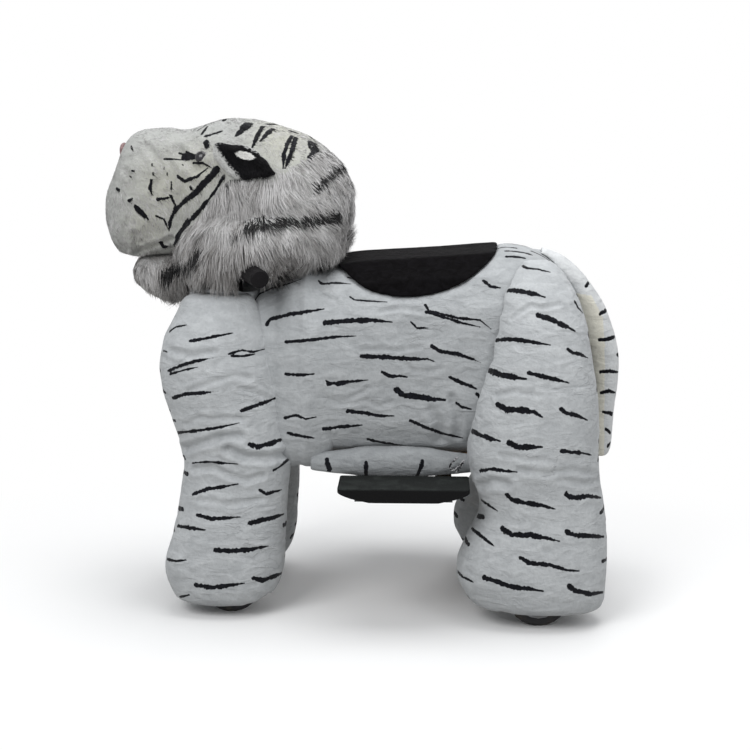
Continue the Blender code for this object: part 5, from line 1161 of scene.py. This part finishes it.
def shoulder_cloth():
    """The tube of cloth, with soft vertical pleats near the legs."""
    table = np.array(SHOULDER_STATIONS)
    places = np.arange(table[0, 0], table[-1, 0], -SHOULDER_STEP)
    rows = [np.interp(-places, -table[:, 0], table[:, k]) for k in (1, 2, 3)]
    angle = np.linspace(0, 2 * math.pi, SHOULDER_SIDES, endpoint=False)
    verts = []
    body = surface_tree(torso)
    for place, half, bottom, top in zip(places, *rows):
        wave = 0.5 + 0.5 * math.cos((place + PLEAT_PLACE) / PLEAT_WIDTH * math.pi)
        pleat = 1 - SHOULDER_PLEAT / half * wave**2
        side, up = power_circle(angle, np.where(np.sin(angle) > 0, *SHOULDER_POWERS))
        middle, rise = (top + bottom) / 2, (top - bottom) / 2
        row = np.stack([np.full_like(angle, place), side * half * pleat, middle + up * rise * pleat], 1)
        clear = np.interp(-place, SHOULDER_HEM, SHOULDER_CLEAR)
        for point in row:
            centre = Vector((place, 0.0, middle))
            outward = (Vector(point) - centre).normalized()
            hit = body.ray_cast(centre + outward, -outward)[0]
            if hit is not None:
                hold = np.interp(-place, SHOULDER_HEM[1:], (1.0, 0.0))
                hold = hold * np.interp(outward.z, SHOULDER_UNDERSIDE, (0.0, 1.0))
                reach = (Vector(point) - centre).length
                point[:] = centre + outward * (hold * ((hit - centre).length + clear) + (1 - hold) * reach)
        verts.append(row)
    count, sides = len(places), SHOULDER_SIDES
    here = np.arange(count * sides).reshape(count, sides)
    corners = here[:-1], here[1:], np.roll(here[1:], -1, 1), np.roll(here[:-1], -1, 1)
    faces = np.stack(corners, 2).reshape(-1, 4).tolist()
    mesh = bpy.data.meshes.new("shoulder_cloth")
    mesh.from_pydata(np.concatenate(verts).tolist(), [], faces)
    mesh.update()
    piece = linked("shoulder_cloth", mesh)
    wall = piece.modifiers.new("wall", "SOLIDIFY")
    wall.thickness = SHOULDER_WALL
    wall.offset = -1
    applied(piece)
    piece.data.shade_smooth()
    coat = Coat(piece, 131)
    coat.photographed(TORSO_STROKES_PX + CHEST_STROKES_PX)
    even = mesh_points(piece.data)
    crumple(piece, SHOULDER_LUMPS, SHOULDER_CREASES, 131)
    share = np.interp(-even[:, 0], SHOULDER_HEM[1:], (0.0, 1.0))[:, None]
    set_points(piece.data, even + (mesh_points(piece.data) - even) * share)
    refine_strokes(piece, coat)
    piece.data.materials.append(SHADED_BODY_PLUSH)
    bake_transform(piece)


shoulder_cloth()

# Nose pad, on the muzzle's tip, with two nostrils and a cleft. Their measures are shares of its half sizes.
NOSE_PLACE = Vector((-0.4480, 0.0, 0.836))
NOSE_HALF = Vector((0.0085, 0.021, 0.016))
NOSE_NARROW, NOSE_WIDENS = 0.62, (-0.9, 0.3)
NOSTRIL_PLACE, NOSTRIL_SIZE, NOSTRIL_DEPTH = (0.48, -0.05), (0.20, 0.30), 0.42
CLEFT_WIDTH, CLEFT_DEPTH, CLEFT_TOP = 0.07, 0.12, 0.1


def nose_pad():
    editor = bmesh.new()
    bmesh.ops.create_uvsphere(editor, u_segments=48, v_segments=32, radius=1)
    for vertex in editor.verts:
        x, y, z = vertex.co
        wide = np.interp(z, NOSE_WIDENS, (NOSE_NARROW, 1))
        across, up = (abs(y) - NOSTRIL_PLACE[0]) / NOSTRIL_SIZE[0], (z - NOSTRIL_PLACE[1]) / NOSTRIL_SIZE[1]
        cleft = CLEFT_DEPTH * math.exp(-((y / CLEFT_WIDTH) ** 2)) * (z < CLEFT_TOP)
        depth = 1 - (NOSTRIL_DEPTH * math.exp(-(across**2) - up**2) + cleft) * (x < 0)
        vertex.co = NOSE_PLACE + Vector((x * NOSE_HALF.x * depth, y * NOSE_HALF.y * wide, z * NOSE_HALF.z))
    mesh = bpy.data.meshes.new("nose_pad")
    editor.to_mesh(mesh)
    editor.free()
    mesh.shade_smooth()
    covered(linked("nose_pad", mesh), nose_finish(), "steering")


nose_pad()

# Small tied cord where the belly roll meets the rear leg
KNOT_PX = (
    (458, 457), (453, 461), (449, 466), (452, 471), (457, 468), (461, 463), (465, 459), (462, 466),
    (456, 472),
)
KNOT_RADIUS = 0.0017
KNOT_STANDS_OFF, KNOT_CROSSES_BY = 0.002, 0.003


def tied_knot():
    points = []
    for i, (px, py) in enumerate(KNOT_PX):
        start, along = line_of_sight(px, py)
        reach = (-ROLL_SIDE - start.y) / along.y
        points.append(start + along * reach + Vector((0, -KNOT_STANDS_OFF - KNOT_CROSSES_BY * (i % 2), 0)))
    curve = bpy.data.curves.new("tied_knot", "CURVE")
    curve.dimensions = "3D"
    curve.bevel_depth = KNOT_RADIUS
    curve.bevel_resolution = 4
    spline = curve.splines.new("NURBS")
    spline.points.add(len(points) - 1)
    for spot, point in zip(spline.points, points):
        spot.co = (*point, 1)
    spline.order_u = 3
    spline.use_endpoint_u = True
    curve.resolution_u = 8
    drawn = linked("drawn", curve)
    graph = bpy.context.evaluated_depsgraph_get()
    mesh = bpy.data.meshes.new_from_object(drawn.evaluated_get(graph))
    mesh.name = "tied_knot"
    mesh.shade_smooth()
    bpy.data.objects.remove(drawn)
    piece = linked("tied_knot", mesh)
    made = Finish("knot_cord", roughness=0.8)
    twist = made.noise(260.0, 1.0)
    made.tinted(twist, 0.46, 0.54, (20, 20, 24), (168, 168, 170)).bump(twist, 0.0006)
    covered(piece, made.material, "chassis")


tied_knot()

# Saddle, let into the back
SADDLE_FRONT_LIFT = np.array((-0.010, 0.0, 0.009))
SADDLE_LUMPS, SADDLE_CREASES = 0.0012, 0.0004
saddle = fine_form("saddle", "saddle_cushion", SADDLE_VOXEL, 30)
points = mesh_points(saddle.data)
share = (points.max(0) - points)[:, 0] / np.ptp(points[:, 0])
upper = (points - points.min(0))[:, 2] / np.ptp(points[:, 2])
points += (share**3 * upper)[:, None] * SADDLE_FRONT_LIFT
set_points(saddle.data, points)
crumple(saddle, SADDLE_LUMPS, SADDLE_CREASES, 91)
covered(saddle, saddle_finish(), "chassis")

# Eyes and ears
EAR_RIM_PX = ((214, 140), (228, 141), (243, 143), (257, 148), (267, 156), (274, 166))
EAR_RIM_WIDTH, EAR_PILE_CLEAR = 1.5, 1.5
EAR_OUTLINE_PX = (
    (215, 140), (228, 142), (243, 144), (256, 149), (266, 157), (273, 166), (276, 176), (270, 178),
    (260, 179), (248, 181), (237, 180), (227, 175), (218, 167), (213, 158), (213, 149),
)
EAR_BLACK_PX = (
    (216, 142), (238, 143), (245, 146), (255, 151), (264, 156), (271, 161), (277, 167), (278, 178),
    (264, 181), (256, 182), (244, 184), (239, 177), (235, 172), (231, 168), (227, 163), (223, 157),
    (219, 151), (215, 146),
)
EAR_FRINGE, EAR_BACK = 0.35, 0.6
LEAF_PX, LEAF_HALF_PX, LEAF_EDGE = (245, 155.5), (8.5, 4.5), 6
EYE_GROWTH, EYE_SHIFT = np.array((1.5, 1.1, 1.5)), np.array((0.002, 0.0, 0.004))
EYE_FINISH, EAR_FINISH = eye_finish(), ear_finish()
ears = []
for side, word in ((-1, "left"), (1, "right")):
    eye = fine_form("glass_eye_" + word, "eye_" + word, EYE_VOXEL, 12)
    points = mesh_points(eye.data)
    middle = (points.max(0) + points.min(0)) / 2
    set_points(eye.data, middle + (points - middle) * EYE_GROWTH + EYE_SHIFT)
    covered(eye, EYE_FINISH, "steering")
    ear = fine_form("plush_ear_" + word, "ear_" + word, EAR_VOXEL, 60, 2)
    covered(ear, EAR_FINISH, "steering")
    drawn_to(ear, EAR_OUTLINE_PX)
    points, normals = mesh_points(ear.data), mesh_normals(ear.data)
    pixels = to_pixels(points)
    across, down = (pixels - LEAF_PX).T
    leaf = 1 - np.hypot((across - down) / LEAF_HALF_PX[0], down / LEAF_HALF_PX[1])
    outward_face = normals[:, 1] * side > 0.2
    leaf = np.where(outward_face, leaf * LEAF_EDGE, NO_STROKE)
    black = near_line(pixels, EAR_BLACK_PX + EAR_BLACK_PX[:1])
    black *= np.where(inside_outline(pixels, EAR_BLACK_PX), -1, 1)
    edge = np.maximum(EAR_RIM_WIDTH - near_line(pixels, EAR_RIM_PX), EAR_FRINGE * black)
    rim = np.where(outward_face, edge, EAR_BACK)
    for name, values in (("mark", leaf), ("rim", rim), ("ink", -np.maximum(leaf, rim))):
        write_attribute(ear.data, name, values)
    ears.append(ear)


# How the directions read from the photograph blend: distance in pixels and power
FLOW_BLUR_PX, FLOW_FALL = 6, 2.5


def flow_at(pixels):
    """Which way the long fur lies at some pixels, mixed from the places where it was read."""
    table = np.array(FUR_FLOW_PX)
    distance = np.hypot(pixels[:, 0, None] - table[:, 0], pixels[:, 1, None] - table[:, 1])
    weight = 1 / (distance + FLOW_BLUR_PX) ** FLOW_FALL
    weight /= weight.sum(1, keepdims=True)
    return weight @ table[:, 2:]


# Strands: where along them they bend, and how they lie, droop, clump, sag and narrow
STRAND_SHARES = (0.0, 0.3, 0.65, 1.0)
STRAND_LIE, STRAND_DROOP, STRAND_CLUMP, STRAND_TAPER = 0.95, 0.30, 0.34, 0.85
STRAND_SAG = np.array((0, 0, 0.16))
# How far they stray from the direction that was read: in groups of a size, and each by itself
WAYWARD, STRAY = (0.35, 0.020), 0.16
CLUMP_SIZE = 0.016
# Painted shade of the fur, paler at the top and darker towards the bottom, the paler chin, and how much
# shorter it is towards front and rear
FUR_SHADE_PX = (232, 252, 276), (0.70, 0.28, 0.0)
CHIN_PX, CHIN_SPREAD_PX, CHIN_PALE = (148, 268), 18, 0.6
FUR_SLANT_PX, FUR_SHORTER_PX = (210, 0.3), ((160, 197, 255, 300), (0.32, 1.0, 1.0, 0.6))
HUE_PATCHES, HUE_SPREAD = (0.45, 0.014), 0.2
# How much shorter the short pile is where it would hide a stroke, and how frayed a dark band of fur is
PILE_OVER_STROKE, BAND_FRAY_PX = 0.3, 1.3
# The ruff's lower hem. Fur has its full length up to the first distance from it, any beyond the second.
RUFF_HEM_PX = ((257, 292), (290, 280), (318, 264), (338, 250))
RUFF_HEM_WIDTH_PX = 15, 27


def skin_tone(piece, places, least=0.0):
    """Whether the skin under each place is black."""
    finder = KDTree(len(piece.data.vertices))
    for i, vertex in enumerate(piece.data.vertices):
        finder.insert(vertex.co, i)
    finder.balance()
    mark = read((piece.data.attributes.get("ink") or piece.data.attributes["mark"]).data, "value", 1)[:, 0]
    return (mark[[finder.find(p)[1] for p in places]] > least).astype(float)


def scattered_roots(piece, count, random):
    """Points spread evenly over a piece's surface, with their normals."""
    mesh = piece.data
    mesh.calc_loop_triangles()
    corners = read(mesh.loop_triangles, "vertices", 3, np.int32)
    points, normals = mesh_points(mesh), mesh_normals(mesh)
    a, b, c = (points[corners[:, k]] for k in range(3))
    area = np.linalg.norm(np.cross(b - a, c - a), axis=1)
    chosen = random.choice(len(corners), count, p=area / area.sum())
    u, v = random.random(count), random.random(count)
    flip = u + v > 1
    u[flip], v[flip] = 1 - u[flip], 1 - v[flip]
    shares = np.stack([1 - u - v, u, v], 1)[:, :, None]
    where = (points[corners[chosen]] * shares).sum(1)
    normal = (normals[corners[chosen]] * shares).sum(1)
    return where, normal / np.linalg.norm(normal, axis=1, keepdims=True)


def combed(root, normal, flow, seed, random):
    """Which way each strand lies on the skin, and how nearly its wished direction is along the skin."""
    wished = flow[:, :1] * np.array(RIGHTWARD) * (1, 0, 1) - flow[:, 1:] * np.array((0.0, 0.0, 1.0))
    wished = wished + WAYWARD[0] * noise_vector(root, WAYWARD[1], seed)
    wished = wished + STRAY * random.standard_normal(root.shape)
    tangent = wished - (wished * normal).sum(1, keepdims=True) * normal
    size = np.linalg.norm(tangent, axis=1, keepdims=True)
    return tangent / np.maximum(size, 1e-6), size[:, 0]


def ribbons(name, borders):
    """A mesh of narrow ribbons. The borders hold the left and right points at each place along them."""
    strands = np.stack(borders, 1)
    count, per_strand = strands.shape[:2]
    first = np.arange(count)[:, None] * per_strand
    quads = [first + np.array((k, k + 1, k + 3, k + 2)) for k in range(0, per_strand - 2, 2)]
    faces = np.stack(quads, 1).reshape(-1, 4)
    mesh = bpy.data.meshes.new(name)
    mesh.vertices.add(count * per_strand)
    mesh.vertices.foreach_set("co", strands.astype(np.float32).ravel())
    mesh.loops.add(faces.size)
    mesh.loops.foreach_set("vertex_index", faces.astype(np.int32).ravel())
    mesh.polygons.add(len(faces))
    mesh.polygons.foreach_set("loop_start", np.arange(0, faces.size, 4, dtype=np.int32))
    mesh.update(calc_edges=True)
    mesh.shade_smooth()
    return mesh


def grow_fur(name, side, sources, seed, length=(0.020, 0.040), width=0.0013, lean=0.42, short=False):
    """Ribbon strands of fur on one side of the animal, as one mesh."""
    random = np.random.default_rng(seed)
    roots, normals = [], []
    for piece, count, all_over in sources:
        where, normal = scattered_roots(piece, count, random)
        keep = where[:, 1] * side >= 0
        if not all_over:
            keep &= inside_outline(to_pixels(where), LONG_FUR_PX) ^ short
        elif short:
            keep &= skin_tone(piece, where, EAR_PILE_CLEAR) > 0
        roots.append(where[keep])
        normals.append(normal[keep])
    root, normal = np.concatenate(roots), np.concatenate(normals)
    count, pixels = len(root), to_pixels(root)
    tangent, flatness = combed(root, normal, flow_at(pixels), seed, random)
    reach = random.uniform(*length, count) * np.clip(flatness, 0.35, 1.0)
    if short:
        tips = root + tangent * reach[:, None] * 0.9
        kept = np.cumsum([0] + [len(where) for where in roots])
        for (piece, *_), first, last in zip(sources, kept, kept[1:]):
            crossing = skin_tone(piece, tips[first:last]) > skin_tone(piece, root[first:last])
            reach[first:last][crossing] *= PILE_OVER_STROKE
    else:
        slanted = pixels[:, 0] + FUR_SLANT_PX[1] * (pixels[:, 1] - FUR_SLANT_PX[0])
        reach *= np.interp(slanted, *FUR_SHORTER_PX)
        hem = near_line(pixels, RUFF_HEM_PX)
        reach = np.maximum(reach, np.interp(hem, RUFF_HEM_WIDTH_PX, (length[1], length[0] / 2)))
    clump = noise_vector(root, CLUMP_SIZE, seed + 5)
    aside = np.cross(normal, tangent)
    aside = aside + 0.5 * normal * random.standard_normal((count, 1))
    aside /= np.linalg.norm(aside, axis=1, keepdims=True)
    borders = []
    for share in STRAND_SHARES:
        bend = tangent * share * STRAND_LIE + normal * (lean * share - STRAND_DROOP * share**2)
        bend = bend + clump * STRAND_CLUMP * share**1.5 - STRAND_SAG * share**2
        middle = root + reach[:, None] * bend
        half = width / 2 * (1 - STRAND_TAPER * share**1.5)
        borders += [middle - aside * half, middle + aside * half]
    mesh = ribbons(name, borders)
    middle_pixels = to_pixels(root + tangent * reach[:, None] * 0.6)
    tone = np.zeros(count)
    if short:
        tone = np.concatenate([skin_tone(piece, where) for (piece, *_), where in zip(sources, roots)])
    for thickness, *line in FUR_BANDS_PX:
        distance = near_line(middle_pixels, line) + random.normal(0, BAND_FRAY_PX, count)
        tone = np.maximum(tone, (distance < thickness / 2).astype(float))
    chin = np.exp(-((pixels - CHIN_PX) ** 2).sum(1) / CHIN_SPREAD_PX**2)
    # Painted shade: the fur is darker the lower it grows, with random patches of tone besides.
    paleness_and_shade = np.maximum(np.interp(pixels[:, 1], *FUR_SHADE_PX), CHIN_PALE * chin)
    paleness_and_shade = paleness_and_shade + noise_layer(root, *HUE_PATCHES, seed + 9)
    paleness_and_shade = np.clip(paleness_and_shade + HUE_SPREAD * random.standard_normal(count), 0, 1)
    write_attribute(mesh, "tone", np.repeat(tone, len(borders)))
    write_attribute(mesh, "paleness_and_shade", np.repeat(paleness_and_shade, len(borders)))
    write_attribute(mesh, "along", np.tile(np.repeat(STRAND_SHARES, 2), count))
    covered(linked(name, mesh), SHORT_FUR if short else FUR, "steering")


# Strands scattered over each whole piece, of which a mesh keeps those of its side and area
LONG_ON_HEAD, LONG_ON_JAW, SHORT_ON_HEAD, SHORT_ON_EAR = 78000, 12000, 60000, 5000
PILE_LENGTH, PILE_WIDTH, PILE_LEAN = (0.005, 0.010), 0.0008, 0.30
for (side, word, seed), ear in zip(((-1, "left", 101), (1, "right", 111)), ears):
    grow_fur("long_fur_" + word, side, [(head, LONG_ON_HEAD, False), (jaw, LONG_ON_JAW, True)], seed)
    pile = [(head, SHORT_ON_HEAD, False), (ear, SHORT_ON_EAR, True)]
    grow_fur("face_pile_" + word, side, pile, seed + 5, PILE_LENGTH, PILE_WIDTH, PILE_LEAN, True)

# Camera
camera = linked("camera", bpy.data.cameras.new("camera"))
camera.data.lens = LENS_MM
camera.data.sensor_width = SENSOR_MM
camera.location = EYE
camera.rotation_euler = TOWARD_EYE.to_track_quat("Z", "Y").to_euler()
bpy.context.scene.camera = camera


def seen_directly(tree):
    """One for rays from the camera, also by way of a mirror or glass, and zero for all others."""
    path = tree.nodes.new("ShaderNodeLightPath")
    direct = path.outputs["Is Camera Ray"]
    for other in ("Is Glossy Ray", "Is Transmission Ray"):
        either = tree.nodes.new("ShaderNodeMath")
        either.operation = "MAXIMUM"
        tree.links.new(direct, either.inputs[0])
        tree.links.new(path.outputs[other], either.inputs[1])
        direct = either.outputs[0]
    return direct


def end_in_mix(tree, output, *sources):
    """Ends a node tree in a mix of two shaders. The sources are the share and the two shaders."""
    blend = tree.nodes.new("ShaderNodeMixShader")
    for source, socket in zip(sources, blend.inputs):
        tree.links.new(source, socket)
    tree.links.new(blend.outputs[0], tree.nodes[output].inputs["Surface"])


# Floor: it holds the object's shadow near by, and fades into the white background
floor_mesh = bpy.data.meshes.new("floor")
FLOOR_HALF = 14.0
corners = [(FLOOR_HALF * x, FLOOR_HALF * y, 0) for x, y in ((-1, -1), (1, -1), (1, 1), (-1, 1))]
floor_mesh.from_pydata(corners, [], [(0, 1, 2, 3)])
floor = linked("floor", floor_mesh)
FLOOR_LIT, FLOOR_WHITE = 0.55, 1.25
FLOOR_BOUNCE = screen(184, 183, 181)
paper = Finish("floor", roughness=0.95, Specular_IOR_Level=0.1)
bounced = paper.node("LightPath").outputs["Is Diffuse Ray"]
paper.colour(paper.mix(bounced, screen(244, 244, 244), FLOOR_BOUNCE))
away = paper.node("VectorMath", Vector=paper.stretched((1.0, 1.3, 0.0)))
away.operation = "LENGTH"
fade = paper.ranged(away.outputs["Value"], FLOOR_LIT, FLOOR_WHITE)
share = paper.math("MULTIPLY", fade, seen_directly(paper.tree))
white = paper.node("Emission", Color=(1, 1, 1, 1), Strength=1.0)
end_in_mix(paper.tree, "Material Output", share, paper.shader.outputs[0], white.outputs[0])
floor.data.materials.append(paper.material)

bpy.context.scene.view_settings.view_transform = "Standard"

# World and lamps
world = bpy.data.worlds.new("studio")
bpy.context.scene.world = world
world.use_nodes = True
tree = world.node_tree
AMBIENT = 0.47
sky = tree.nodes["Background"]
sky.inputs["Color"].default_value = (0.96, 0.98, 1.0, 1.0)
sky.inputs["Strength"].default_value = AMBIENT
backdrop = tree.nodes.new("ShaderNodeBackground")
backdrop.inputs["Color"].default_value = (1, 1, 1, 1)
end_in_mix(tree, "World Output", seen_directly(tree), sky.outputs[0], backdrop.outputs[0])


def soft_box(name, place, size, power):
    """A square soft lamp that points at the object."""
    lamp = bpy.data.lights.new(name, "AREA")
    lamp.shape = "SQUARE"
    lamp.size = size
    lamp.energy = power
    piece = linked(name, lamp)
    piece.location = place
    piece.rotation_euler = (Vector(place) - TARGET).to_track_quat("Z", "Y").to_euler()


soft_box("key", (-1.5, -2.5, 2.7), 1.8, 54)
soft_box("fill", (2.3, -2.2, 1.9), 2.2, 22)
soft_box("top", (0.3, 0.0, 3.2), 2.0, 46)
soft_box("back", (0.5, 2.8, 1.9), 2.0, 24)
